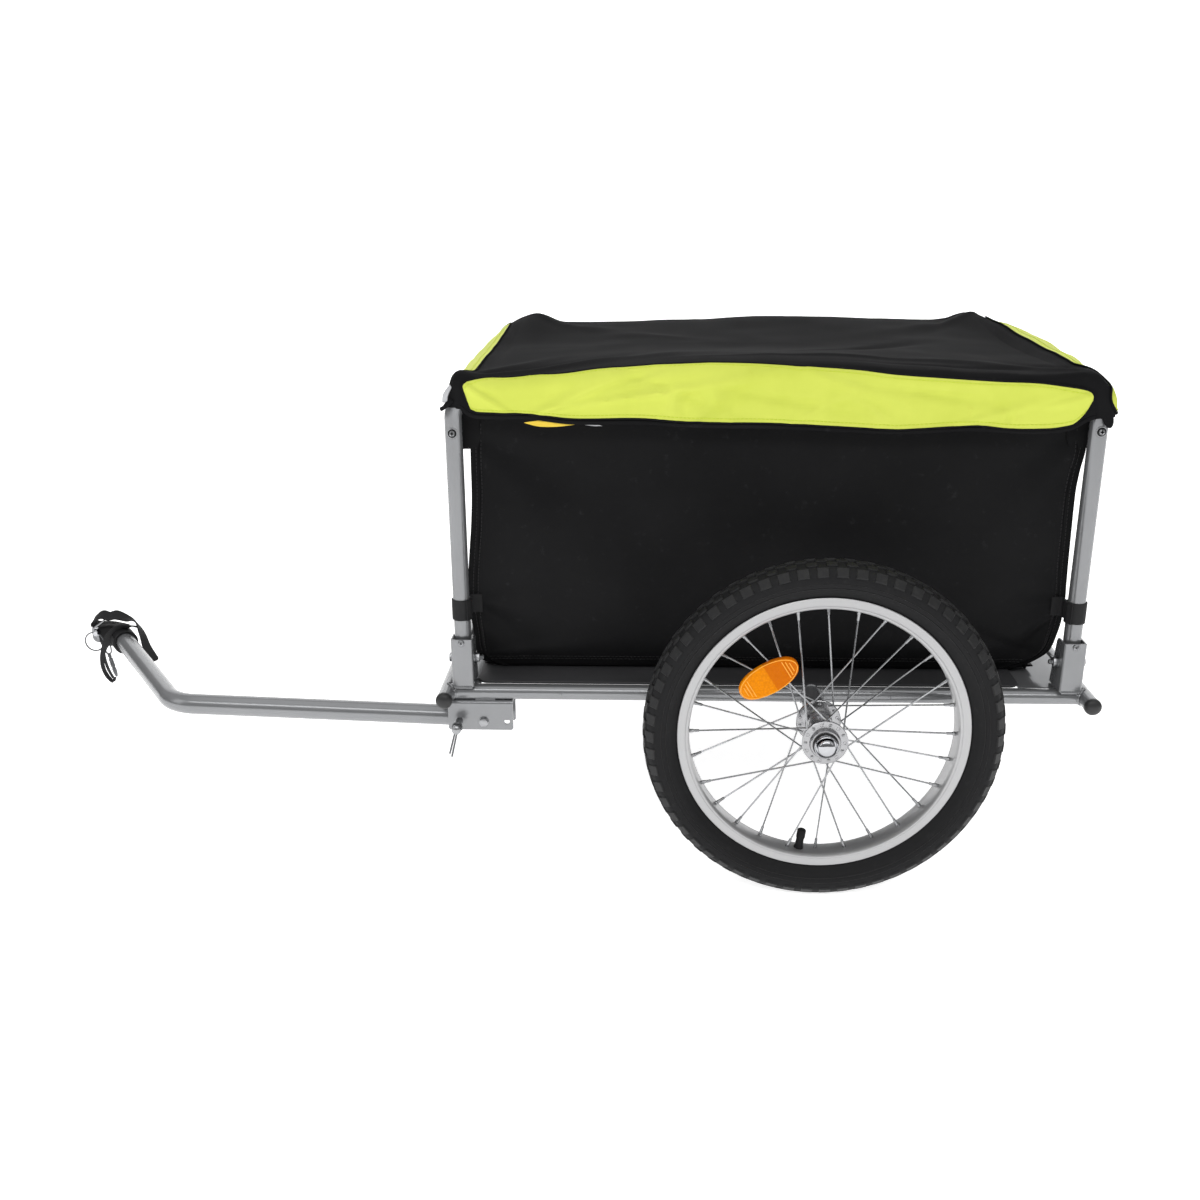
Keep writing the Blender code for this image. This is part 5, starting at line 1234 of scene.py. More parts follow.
# Bag corner tabs and straps
# A folded tab of cloth at each top corner is screwed to the inside of the post. Lower down
# a hook-and-loop strap, sewn to the seam, is wrapped round the post and pressed on itself.
TAB_Z, TAB_HEIGHT = 0.4965, 0.0545
TAB_THICK = 0.001
STRAP_Z = 0.307
STRAP_WIDTH = 0.025
STRAP_HALF_THICK = 0.0006
webbing = Finish("black_nylon_webbing", srgb(32, 32, 33), 0.66, Specular_IOR_Level=0.2)
ribs = webbing.noise(900, 2, 0.5, webbing.stretched(1, 1, 0.5))
patchy = webbing.noise(60, 3)
webbing.colour(webbing.mix(patchy, srgb(27, 27, 28), srgb(42, 42, 43)))
webbing.rough(0.56 + patchy * 0.16)
webbing.bump(ribs, 0.5, 0.0005)
for end, away in ENDS.items():
    for side, name in SIDES.items():
        x = POST_X[end]

        def place(a, b):
            z = TAB_Z + TAB_HEIGHT * b
            near_foot = max(0.0, 1 - b / 0.3)
            reach = 0.03 - 0.0085 * near_foot**2
            y = 0.2361 + 0.0003 * math.sin(b * 9) - 0.001 * a
            return Vector((x - away * (0.0015 * near_foot**2 + a * reach), side * y, z))

        bm = cloth_grid(16, 18, place)
        thicken(bm, TAB_THICK, bm.faces[:][0], Y * side)
        piece = make_object(f"bag_corner_tab_{end}_{name}", bm, bag_cloth)
        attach(piece, f"side_frame_{name}")

        line = []
        for i in range(49):
            turn = math.radians(-40 + 455 * i / 48)
            radius = 0.011 + 0.0014 * max(0.0, (i - 34) / 14) + (0.0012 if i == 48 else 0)
            offset = Vector((-away * math.cos(turn), side * math.sin(turn), 0)) * radius
            line.append(Vector((x, side * POST_Y, STRAP_Z)) + offset)
        half = STRAP_WIDTH / 2
        lip = STRAP_HALF_THICK
        section = [(-half, -lip), (half, -lip), (half, lip), (-half, lip)]
        wrap = sweep(line, section, across=Z)
        root = Vector((x - away * 0.0075, side * 0.239, STRAP_Z))
        tip = Vector((x - away * 0.01, side * 0.227, STRAP_Z))
        tab = [root, root.lerp(tip, 0.5) - X * away * 0.0012, tip]
        tab.append(tip - Vector((away * 0.012, side * 0.0005, 0)))
        narrow = [(a * 0.92, b) for a, b in section]
        strap = join(wrap, sweep(smooth_line(tab, 4), narrow, across=Z))
        soften(strap, 0.0003, 1, least=60)
        piece = make_object(f"bag_strap_wrapped_{end}_{name}", strap, webbing)
        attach(piece, f"side_frame_{name}")
        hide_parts(f"bag_strap_{end}_{name}")

# Cover
# A fitted cover of black polyester pulled down over both side frames. What lies under it
# pushes the near shoulder and the far corners up, and its hem sags between the posts.
COVER_X = (POST_X["front"] + POST_X["rear"]) / 2
FLAT_X = (POST_X["rear"] - POST_X["front"]) / 2 - POST_BEND
FLAT_Y = POST_Y
SIDE_ROUND = 0.013
END_ROUND = POST_BEND + SIDE_ROUND
WALL = 0.033
COVER_DROP = WALL + SIDE_ROUND * math.pi / 2
COVER_CLOTH = 0.0014
CROWN = 0.01
FOLD_BLEND = 0.012
END_HEM = {"front": (0.533, 0.015, -0.26, 0.045), "rear": (0.5275, 0.007, -0.27, 0.05)}
END_SAG = 0.003
KNOBS = {"front": (-0.086, 0.02, 0.01), "rear": (0.626, 0.015, 0.006)}
HEM_NEAR = (
    (-0.101, 0.548), (-0.082, 0.546), (-0.068, 0.5375), (-0.05, 0.5352), (0.0, 0.5345),
    (0.046, 0.529), (0.124, 0.5285), (0.179, 0.525), (0.278, 0.523), (0.366, 0.5185),
    (0.41, 0.517), (0.491, 0.52), (0.55, 0.517), (0.59, 0.5195), (0.612, 0.529), (0.642, 0.535),
)  # fmt: skip
SHOULDER_NEAR = (
    (-0.101, 0.004), (-0.06, 0.0), (0.0, 0.001), (0.035, 0.005), (0.079, 0.0095),
    (0.145, 0.014), (0.215, 0.016), (0.276, 0.0145), (0.363, 0.0125), (0.406, 0.009),
    (0.514, 0.003), (0.557, 0.001), (0.61, 0.003), (0.642, 0.005),
)  # fmt: skip
SHOULDER_FAR = (
    (-0.101, 0.006), (-0.066, 0.015), (-0.03, 0.023), (0.0, 0.013), (0.03, 0.011),
    (0.207, 0.014), (0.309, 0.0175), (0.441, 0.014), (0.54, 0.011), (0.565, 0.0135),
    (0.594, 0.021), (0.616, 0.015), (0.642, 0.004),
)  # fmt: skip
END_PUSH = {
    "front": ((-0.26, 0.0), (-0.2, 0.001), (-0.1, 0.005), (0.02, 0.009), (0.14, 0.007), (0.26, 0.0)),
    "rear": ((-0.26, 0.0), (-0.18, 0.009), (-0.06, 0.019), (0.08, 0.022), (0.18, 0.009), (0.26, 0.0)),
}
TOP_FOLDS = (
    (-0.075, -0.24, 16, 0.33, 0.016, 0.004), (-0.07, -0.236, 30, 0.26, 0.014, -0.003),
    (-0.072, -0.225, 48, 0.2, 0.015, 0.003), (-0.04, 0.235, -40, 0.2, 0.018, 0.0035),
    (0.01, 0.24, -70, 0.18, 0.016, -0.0025), (0.6, 0.236, 222, 0.24, 0.018, 0.0035),
    (0.56, 0.24, 250, 0.18, 0.014, -0.0028), (0.36, -0.09, 38, 0.18, 0.013, -0.004),
    (0.3, -0.2, 4, 0.3, 0.01, 0.0022), (0.44, -0.226, 3, 0.2, 0.008, -0.0018),
    (0.622, -0.238, 160, 0.22, 0.014, 0.003), (0.618, -0.232, 140, 0.15, 0.012, -0.0026),
    (0.15, 0.06, 150, 0.16, 0.03, 0.0025),
)  # fmt: skip
SIDE_DEPTH = 1.3
SIDE_FOLDS = (
    (0.01, 0.54, 26, 0.11, 0.008, 0.0047), (0.09, 0.556, 8, 0.24, 0.006, 0.0047),
    (0.08, 0.566, 20, 0.12, 0.005, -0.0028), (0.19, 0.533, 34, 0.07, 0.006, -0.004),
    (0.225, 0.53, 120, 0.05, 0.006, 0.0034), (0.25, 0.56, -10, 0.15, 0.006, -0.0031),
    (0.3, 0.535, 28, 0.1, 0.007, 0.0034), (0.33, 0.578, -18, 0.12, 0.006, 0.0034),
    (0.42, 0.563, -8, 0.11, 0.0055, -0.0037), (0.47, 0.527, 14, 0.12, 0.0055, 0.004),
    (0.4, 0.532, 150, 0.08, 0.006, 0.0028), (0.56, 0.549, 12, 0.09, 0.009, 0.0025),
    (-0.05, 0.56, -28, 0.07, 0.007, 0.0031), (0.15, 0.541, 60, 0.04, 0.0045, 0.0028),
    (0.168, 0.537, 74, 0.036, 0.004, -0.0026), (0.208, 0.536, 108, 0.034, 0.004, 0.0026),
    (0.286, 0.534, 66, 0.036, 0.0042, 0.0024), (0.345, 0.529, 84, 0.03, 0.0038, -0.0022),
    (0.385, 0.527, 100, 0.03, 0.004, 0.0024), (0.5, 0.53, 70, 0.034, 0.0045, 0.0022),
    (0.53, 0.528, 112, 0.03, 0.004, -0.002), (-0.062, 0.572, -32, 0.16, 0.0055, -0.0026),
    (0.12, 0.58, -20, 0.19, 0.006, -0.0026), (0.6, 0.56, 196, 0.15, 0.006, -0.0024),
)  # fmt: skip


def smooth_step(value, low, high):
    t = clamp((value - low) / (high - low))
    return t * t * (3 - 2 * t)


def top_fold(x, y, ripple):
    """The folds of the cover's top at (x, y), on slow ripples of a given height."""
    slow, fine = noise.noise(Vector((x * 7, y * 8, 1.7))), noise.noise(Vector((x * 21, y * 16, 5.2)))
    return sum(crease(x, y, *line) for line in TOP_FOLDS) + slow * ripple + fine * 0.0011


def cover_skin(p, q, proud=0.0):
    """Where the cloth at (p, q) of the flat cover, from its middle, lies on the frames."""
    d = max(abs(p) - FLAT_X, abs(q) - FLAT_Y, 0.0)
    up = COVER_DROP - d
    hand_x, hand_y = math.copysign(1, p), math.copysign(1, q)
    bend = max(0.0, up - WALL) / SIDE_ROUND
    level = TOP_RAIL_Z - WALL + up if up < WALL else TOP_RAIL_Z + SIDE_ROUND * math.sin(bend)
    reach_y = SIDE_ROUND * math.cos(bend)
    rise = min(1.0, (level - (TOP_RAIL_Z - WALL)) / END_ROUND)
    reach_x = END_ROUND * math.sqrt(max(0.0, 1 - rise * rise))
    side_tilt, end_tilt = bend, math.asin(rise)
    on_end = abs(p) - FLAT_X >= abs(q) - FLAT_Y
    if d <= 0:
        x, y, level, facing, tilt, turn = p, q, TOP_RAIL_Z + SIDE_ROUND, Z, math.pi / 2, float(not on_end)
    elif on_end and abs(q) <= FLAT_Y:
        x, y, facing, tilt, turn = hand_x * (FLAT_X + reach_x), q, X * hand_x, end_tilt, 0.0
    elif not on_end and abs(p) <= FLAT_X:
        x, y, facing, tilt, turn = p, hand_y * (FLAT_Y + reach_y), Y * hand_y, side_tilt, 1.0
    else:
        share = (abs(q) - FLAT_Y) / (2 * d) if on_end else 1 - (abs(p) - FLAT_X) / (2 * d)
        corner = min(reach_x, reach_y)
        arc, run = corner * math.pi / 2, reach_x - corner
        travelled = share * (arc + run)
        angle = min(travelled, arc) / max(corner, 1e-9)
        along = max(0.0, travelled - arc)
        x = hand_x * (FLAT_X + reach_x - corner + corner * math.cos(angle) - along)
        y = hand_y * (FLAT_Y + reach_y - corner + corner * math.sin(angle))
        facing = Vector((hand_x * math.cos(angle), hand_y * math.sin(angle), 0))
        turn = share
        tilt = end_tilt + (side_tilt - end_tilt) * smooth_step(share, 0.0, 1.0)
    x += COVER_X
    out = facing * math.cos(tilt) + Z * math.sin(tilt)

    end = "front" if p < 0 else "rear"
    near = smooth_step(-y, -0.02, 0.235)
    far = smooth_step(y, -0.02, 0.235)
    height = smooth_step(up, 0.004, 0.05)
    side_hem = between(HEM_NEAR, x) + (0.0 if q < 0 else 0.0015)
    end_hem, corner_rise, corner_y, corner_width = END_HEM[end]
    end_hem -= END_SAG * (1 - min(1.0, abs(y) / 0.25) ** 2)
    end_hem += corner_rise * hump(y, corner_y, corner_width)
    hem = end_hem + (side_hem - end_hem) * smooth_step(turn, 0.2, 0.9)
    if up < WALL:
        level += (hem - (TOP_RAIL_Z - WALL)) * (1 - up / WALL)
    lift = height * (between(SHOULDER_NEAR, x) * near**1.5 + between(SHOULDER_FAR, x) * far**1.5)
    inner = (clamp(1 - abs(p) / FLAT_X) * clamp(1 - abs(q) / FLAT_Y)) ** 0.55
    lift += CROWN * inner
    knob_x, knob_width, knob_height = KNOBS[end]
    knob = hump(x, knob_x, knob_width) * hump(y, -0.24, 0.03)
    lift += knob_height * knob * smooth_step(up, 0.016, 0.046)

    push = 0.0
    if turn < 0.5 and d > 0:
        push = between(END_PUSH[end], y) * math.sin(math.pi * clamp(up / 0.056))
    if p < 0:
        push += 0.006 * knob * smooth_step(up, 0.018, 0.036)
    elif turn < 0.5 and d > 0:
        push += 0.006 * hump(y, -0.225, 0.035) * smooth_step(0.036 - up, 0.0, 0.02)
    loose = math.sin(math.pi * max(0.05, clamp(up / 0.06)))
    if d <= 0:
        fold = top_fold(x, y, 0.0045 * (0.25 + 0.75 * inner))
    elif turn > 0.5 and q < 0:
        fold = SIDE_DEPTH * sum(crease(x, level + lift, *line) for line in SIDE_FOLDS)
        fold *= min(1.0, loose + 0.25)
        fold += noise.noise(Vector((x * 16, level * 34, 9.1))) * 0.0022 * loose
        fold += noise.noise(Vector((x * 75, level * 20, 2.4))) * 0.0007 * (1.15 - loose)
    else:
        fold = noise.noise(Vector((x * 17, y * 17 + level * 30, 3.3))) * 0.0026 * loose
        fold += noise.noise(Vector((x * 60, y * 60, 6.6))) * 0.0006
    if 0 < d < FOLD_BLEND:
        share = smooth_step(d, 0.0, FOLD_BLEND)
        fold = top_fold(x, y, 0.0011) * (1 - share) + fold * share
    if p < 0 and q < 0:
        at_post = smooth_step(-x, 0.07, 0.09) * smooth_step(-y, 0.2, 0.245)
        x += 0.005 * at_post * (1 - smooth_step(up, 0.022, 0.046))
        fold *= 1 - at_post
    if p > 0 and q < 0:
        at_post = smooth_step(x, 0.6, 0.64) * smooth_step(-y, 0.238, 0.275)
        x -= 0.0062 * at_post * (1 - smooth_step(up, 0.034, 0.052))
    return Vector((x, y, level + lift)) + out * (push + fold + proud)


def spread_steps(half, edge, fine, coarse):
    """Positions from -half to half: fine steps in the outer edge, coarse ones inside."""
    steps = [half]
    while steps[-1] > 0:
        inside = smooth_step(half - steps[-1], edge, edge + 0.05)
        steps.append(steps[-1] - (fine + (coarse - fine) * inside))
    steps = [s for s in steps if s > coarse * 0.4]
    return [-s for s in steps] + [0.0] + steps[::-1]


cover_cloth = black_cloth("black_cover_polyester", (27, 27, 28), 0.66, 0.01, 9, (-4, 8))
columns = spread_steps(FLAT_X + COVER_DROP, 0.085, 0.0034, 0.0062)
rows = spread_steps(FLAT_Y + COVER_DROP, 0.085, 0.003, 0.006)
wide, deep = len(columns) - 1, len(rows) - 1
bm = cloth_grid(wide, deep, lambda u, t: cover_skin(columns[round(u * wide)], rows[round(t * deep)]))
thicken(bm, COVER_CLOTH, max(bm.faces, key=lambda face: face.calc_center_median().z), Z)
cover_top = make_object("cover_black_shell", bm, cover_cloth, sharp=75)
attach(cover_top, "cover")
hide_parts("cover")

# Yellow side panels of the cover
# Bright yellow-green polyester panels sewn on the four sides of the cover, each with round
# ends. A thin black welt is sewn in all round them, with stitches beside it.
YELLOW_LOW = (
    (-0.0755, 0.556), (-0.0745, 0.548), (-0.071, 0.5445), (-0.062, 0.5428), (-0.044, 0.5418),
    (0.001, 0.5405), (0.046, 0.535), (0.124, 0.535), (0.179, 0.531), (0.278, 0.529),
    (0.366, 0.524), (0.41, 0.522), (0.491, 0.526), (0.529, 0.5225), (0.572, 0.5225),
    (0.592, 0.5255), (0.6055, 0.5305), (0.616, 0.5375), (0.6215, 0.544), (0.6245, 0.553),
)  # fmt: skip
YELLOW_HIGH = (
    (-0.0755, 0.566), (-0.0745, 0.571), (-0.07, 0.5752), (-0.06, 0.578), (-0.02, 0.579),
    (0.035, 0.583), (0.079, 0.588), (0.145, 0.592), (0.211, 0.594), (0.276, 0.592),
    (0.363, 0.5865), (0.406, 0.5815), (0.514, 0.574), (0.557, 0.572), (0.595, 0.5675),
    (0.61, 0.5645), (0.6175, 0.5615), (0.6225, 0.5575), (0.6245, 0.553),
)  # fmt: skip
WELT = 0.0011
PANEL_CLOTH = 0.0008
PANEL_PROUD, WELT_PROUD, STITCHES_PROUD = 0.0016, 0.0014, 0.0018
PANEL_INSET = 0.0034
PANEL_SPAN = {
    "near": (-0.0755, 0.6245), "far": (-0.07, 0.612), "front": (-0.226, 0.226), "rear": (-0.262, 0.226),
}  # fmt: skip
PANEL_FACING = {"near": -Y, "far": Y, "front": -X, "rear": X}


def flat_place(wall, along, up):
    """Where a point that is up from the hem of one wall lies on the flat cover."""
    down = COVER_DROP - up
    return {
        "near": (along - COVER_X, -FLAT_Y - down),
        "far": (along - COVER_X, FLAT_Y + down),
        "front": (-FLAT_X - down, along),
        "rear": (FLAT_X + down, along),
    }[wall]


def climb_to(along, height):
    """How far up the near wall the cloth reaches a height."""
    low, high = 0.0, COVER_DROP
    for _ in range(16):
        middle = (low + high) / 2
        if cover_skin(*flat_place("near", along, middle)).z < height:
            low = middle
        else:
            high = middle
    return (low + high) / 2


def panel_edges(wall, count):
    """The panel's stations: place along the wall, and the lower and upper edge there."""
    stations = []
    start, end = PANEL_SPAN[wall]
    for i in range(count + 1):
        u = i / count
        u -= 0.8 * math.sin(math.tau * u) / math.tau
        along = start + (end - start) * u
        if wall == "near":
            low, high = (climb_to(along, between(edge, along)) for edge in (YELLOW_LOW, YELLOW_HIGH))
            stations.append((along, low, max(low + 0.0004, high)))
            continue
        from_end = min(along - start, end - along)
        round_end = math.sqrt(max(0.0, 1 - (1 - min(1.0, from_end / 0.024)) ** 2))
        low_end = smooth_step(-along, 0.195, 0.245) if wall == "rear" else 0.0
        half, middle = (0.0195 - 0.007 * low_end) * max(0.02, round_end), 0.027 - 0.012 * low_end
        stations.append((along, middle - half, middle + half))
    return stations


yellow = Finish("yellow_green_polyester", srgb(222, 238, 92), 0.6, Specular_IOR_Level=0.2)
tone = yellow.noise(11, 4, 0.6)
soil = yellow.ramp(yellow.noise(38, 5, 0.7), 0.6, 0.82)
dyed = yellow.mix(tone, srgb(196, 208, 76), srgb(224, 233, 104))
yellow.colour(yellow.mix(soil * 0.35, dyed, srgb(196, 192, 66)))
yellow.rough(0.54 + tone * 0.12)
weave(yellow, 0.25, 0.0003)
thread_yellow = Finish("yellow_sewing_thread", srgb(206, 222, 70), 0.5, Specular_IOR_Level=0.2)
thread_yellow.bump(thread_yellow.noise(2500), 0.3, 0.0002)
for wall in ("near", "far", "front", "rear"):
    stations = panel_edges(wall, 200 if wall in ("near", "far") else 110)

    def place(u, share):
        along, low, high = stations[round(u * (len(stations) - 1))]
        return cover_skin(*flat_place(wall, along, low + (high - low) * share), proud=PANEL_PROUD)

    bm = cloth_grid(len(stations) - 1, 20, place)
    first = bm.faces[:][len(bm.faces) // 2]
    thicken(bm, PANEL_CLOTH, first, first.calc_center_median() - Vector((COVER_X, 0, 0.5)))
    panel = make_object(f"cover_yellow_panel_{wall}", bm, yellow, sharp=75)

    outline = [(a, low) for a, low, high in stations] + [(a, high) for a, low, high in stations[::-1]]
    edge = [cover_skin(*flat_place(wall, a, up), proud=WELT_PROUD) for a, up in outline]
    edge = [p for p, after in zip(edge, edge[1:] + edge[:1]) if (p - after).length > 0.0006]
    welt = make_object(f"cover_welt_{wall}", sweep(edge, ring_section(WELT, 6), closed=True), cover_cloth)
    sewn = []
    for line in (
        [(a, low + PANEL_INSET) for a, low, high in stations[6:-6]],
        [(a, high - PANEL_INSET) for a, low, high in stations[6:-6]],
    ):
        spots = [cover_skin(*flat_place(wall, a, up), proud=STITCHES_PROUD) for a, up in line]
        sewn += stitch_row(spots, (PANEL_FACING[wall] + Z * 0.3).normalized(), 0.0004)
    sewing = make_object(f"cover_panel_stitches_{wall}", join(*sewn), thread_yellow)
    for piece in (panel, welt, sewing):
        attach(piece, "cover")

# Hem of the cover
# The cover's lower edge is turned up and sewn in a narrow hem, which sags with the cloth
# between the posts and is a little thicker than it.
HEM_HALF_THICK, HEM_HALF_HIGH = 0.0011, 0.0026
edge_x, edge_y = FLAT_X + COVER_DROP, FLAT_Y + COVER_DROP
hem_line = []
for p, q, steps in (
    ((-edge_x, -FLAT_Y), (-edge_x, FLAT_Y), 90),
    ((-edge_x, edge_y), (edge_x, edge_y), 150),
    ((edge_x, FLAT_Y), (edge_x, -FLAT_Y), 90),
    ((edge_x, -edge_y), (-edge_x, -edge_y), 150),
):
    hem_line += [(p[0] + (q[0] - p[0]) * i / steps, p[1] + (q[1] - p[1]) * i / steps) for i in range(steps)]
spots = [cover_skin(*spot, proud=-0.0002) for spot in hem_line]
spots = [p for p, after in zip(spots, spots[1:] + spots[:1]) if (p - after).length > 0.0008]
turns = [math.tau * i / 10 for i in range(10)]
band = [(HEM_HALF_HIGH * math.sin(t), HEM_HALF_THICK * math.cos(t)) for t in turns]
hem = sweep([p + Z * 0.0022 for p in spots], band, closed=True, across=Z)
piece = make_object("cover_hem", hem, cover_cloth, sharp=60)
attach(piece, "cover")

# Pull tab, turned edges and painted gap light of the cover
# At the near front corner the hem ends in a black knot under a pale webbing tab, and the rear corner of the
# hem turns down. Under the near hem two thin strips paint the light
# seen through the gap there: an orange-yellow one for the far yellow panel lit from behind, and a pale one
# for the white beyond.


def ribbon(path, width, thick, steps=6):
    """Webbing laid along (place, across, width share) stations, with rounded selvedges."""
    places = smooth_line([p for p, across, share in path], steps)
    acrosses = smooth_line([across for p, across, share in path], steps)
    shares = smooth_line([(share, 0, 0) for p, across, share in path], steps)
    half, lip = width / 2, thick / 2
    upper = [(-half + lip * 0.4, lip), (-half * 0.4, lip), (half * 0.4, lip), (half - lip * 0.4, lip)]
    section = [(-half, 0)] + upper + [(half, 0)] + [(a, -b) for a, b in upper[::-1]]
    bm = bmesh.new()
    rings = []
    for i, point in enumerate(places):
        along = (places[min(i + 1, len(places) - 1)] - places[max(i - 1, 0)]).normalized()
        side = (acrosses[i] - along * acrosses[i].dot(along)).normalized()
        up = along.cross(side)
        rings.append([bm.verts.new(point + side * a * shares[i].x + up * b) for a, b in section])
    return clad(bm, rings)


pale_webbing = Finish("pale_grey_webbing", srgb(196, 197, 200), 0.6, Specular_IOR_Level=0.2)
pale_webbing.bump(pale_webbing.noise(900, 2, 0.5, pale_webbing.stretched(1, 1, 0.5)), 0.5, 0.0004)
# Painted light: an orange-yellow cloth that stands for the far yellow panel lit from behind, seen through the
# gap under the near hem.
gap_backlight = Finish("painted_backlit_yellow", srgb(240, 206, 74), 0.6, Specular_IOR_Level=0.2)
gap_backlight.bump(gap_backlight.noise(1500, 2), 0.2, 0.0003)
COVER_EDGES = {
    "cover_knot": (cover_cloth, 0.007, 0.0034, (
        ((-0.086, -0.259, 0.556), (0, 0.8, 0.6), 1.0),
        ((-0.0915, -0.26, 0.552), (0, 0.8, 0.6), 1.0),
        ((-0.096, -0.2605, 0.548), (0.3, 0.7, 0.4), 0.9),
        ((-0.0995, -0.26, 0.5462), (0.3, 0.7, 0.4), 0.6),
    )),
    "cover_pull_tab": (pale_webbing, 0.007, 0.0012, (
        ((-0.084, -0.25, 0.5745), (0.8, -0.5, 0.3), 0.9),
        ((-0.0895, -0.253, 0.569), (0.8, -0.5, 0.3), 1.0),
        ((-0.094, -0.256, 0.561), (0.9, -0.4, 0.1), 1.0),
        ((-0.0948, -0.257, 0.553), (0.9, -0.4, 0.1), 1.0),
    )),
    # Painted light: the far yellow panel, lit from behind, as seen through the gap under the hem.
    "cover_lining_strip": (gap_backlight, 0.0078, 0.0008, (
        ((-0.006, -0.258, 0.5306), (0, 0, 1), 0.04),
        ((0.008, -0.258, 0.5297), (0, 0, 1), 0.8),
        ((0.02, -0.258, 0.5296), (0, 0, 1), 1.0),
        ((0.036, -0.258, 0.529), (0, 0, 1), 0.7),
        ((0.054, -0.258, 0.5288), (0, 0, 1), 0.04),
    )),
    # Painted light: the white background seen through the gap beside it, in the pale webbing's colour.
    "cover_label_strip": (pale_webbing, 0.0024, 0.0006, (
        ((0.062, -0.2575, 0.5278), (0, 0, 1), 0.1),
        ((0.073, -0.2575, 0.5275), (0, 0, 1), 1.0),
        ((0.0815, -0.2575, 0.5266), (0, 0, 1), 0.1),
    )),
    "cover_turned_corner": (cover_cloth, 0.012, 0.0022, (
        ((0.631, -0.259, 0.54), (1, 0.1, 0), 1.0),
        ((0.6335, -0.2605, 0.533), (1, 0.1, 0.1), 1.0),
        ((0.635, -0.261, 0.527), (1, 0.1, 0.2), 0.75),
        ((0.6345, -0.261, 0.5235), (1, 0.1, 0.2), 0.35),
    )),
}  # fmt: skip
for name, (finish, width, thick, path) in COVER_EDGES.items():
    path = [(Vector(place), Vector(across), share) for place, across, share in path]
    piece = make_object(name, ribbon(path, width, thick), finish, sharp=60)
    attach(piece, "cover")

# Drawbar bracket
# One piece of 2 mm sheet folded into a channel, open below. It is welded under the left rail
# and the front cross tube, and drilled for the lock pin, the pivot bolt and a spare bolt.
PIVOT = Vector((-0.0655, -0.242, 0.1653))
CHANNEL_HALF = 0.016
CHANNEL_TOP = 0.1922
CHANNEL_DEPTH = 0.038
CHANNEL_FOLD = 0.0045
CHANNEL_ENDS = (-0.0435, 0.036)
CHANNEL_HOLES = ((-0.03, 0.0044), (0.0, 0.0034), (0.0285, 0.0034))
CHANNEL_CORNER = 0.003
CHANNEL_FLAT = CHANNEL_HALF - CHANNEL_FOLD
CHANNEL_ARC = CHANNEL_FOLD * math.pi / 2


def channel_skin(along, across):
    """Folds a point of the flat sheet onto the outside of the channel."""
    hand, out = math.copysign(1, across), abs(across)
    angle = min(max(out - CHANNEL_FLAT, 0) / CHANNEL_FOLD, math.pi / 2)
    y = min(out, CHANNEL_FLAT) + CHANNEL_FOLD * math.sin(angle)
    down = CHANNEL_FOLD * (1 - math.cos(angle)) + max(out - CHANNEL_FLAT - CHANNEL_ARC, 0)
    return Vector((along, PIVOT.y + hand * y, CHANNEL_TOP - down))


reach = CHANNEL_FLAT + CHANNEL_ARC + CHANNEL_DEPTH - CHANNEL_FOLD
hole_row = CHANNEL_FLAT + CHANNEL_ARC + CHANNEL_TOP - CHANNEL_FOLD - PIVOT.z
low, high = (PIVOT.x + end for end in CHANNEL_ENDS)
bm = bmesh.new()
outline = []
for x, y, start in ((high, reach, 0), (low, reach, 90), (low, -reach, 180), (high, -reach, 270)):
    in_x, in_y = math.copysign(CHANNEL_CORNER, x - PIVOT.x), math.copysign(CHANNEL_CORNER, y)
    for step in range(6):
        angle = math.radians(start + 18 * step)
        corner = Vector((math.cos(angle), math.sin(angle), 0)) * CHANNEL_CORNER
        outline.append(bm.verts.new(Vector((x - in_x, y - in_y, 0)) + corner))
for pair in zip(outline, outline[1:] + outline[:1]):
    bm.edges.new(pair)
for x, radius in CHANNEL_HOLES:
    for hand in (1, -1):
        place = Matrix.Translation((PIVOT.x + x, hand * hole_row, 0))
        bmesh.ops.create_circle(bm, segments=28, radius=radius, matrix=place)
bmesh.ops.triangle_fill(bm, use_beauty=True, edges=bm.edges[:])
for hand in (1, -1):
    for step in range(9):
        fold = (0, hand * (CHANNEL_FLAT + CHANNEL_ARC * step / 8), 0)
        geom = bm.verts[:] + bm.edges[:] + bm.faces[:]
        bmesh.ops.bisect_plane(bm, geom=geom, dist=1e-7, plane_co=fold, plane_no=Y)
for v in bm.verts:
    v.co = channel_skin(v.co.x, v.co.y)
thicken(bm, SHEET, max(bm.faces, key=lambda face: face.calc_center_median().z), Z)
beads = []
for y in (-0.254, -0.246):
    line = [(-0.075 + 0.024 * i / 30, y, CHANNEL_TOP + 0.0007) for i in range(31)]
    beads.append(weld(line, closed=False, radius=0.0019))
line = [(-0.105, PIVOT.y + 0.013 * (i / 15 - 1), CHANNEL_TOP + 0.0005) for i in range(31)]
beads.append(weld(line, closed=False))
piece = make_object("drawbar_channel", join(bm, *beads), enamel, sharp=32)
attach(piece, "base")
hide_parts("drawbar_bracket")
start = PIVOT - Y * (CHANNEL_HALF + 0.0003)
piece = make_object("drawbar_bolt", bolt(start, Y, 2 * CHANNEL_HALF + 0.0006), bright_zinc)
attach(piece, "base")
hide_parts("drawbar_pivot_bolt")

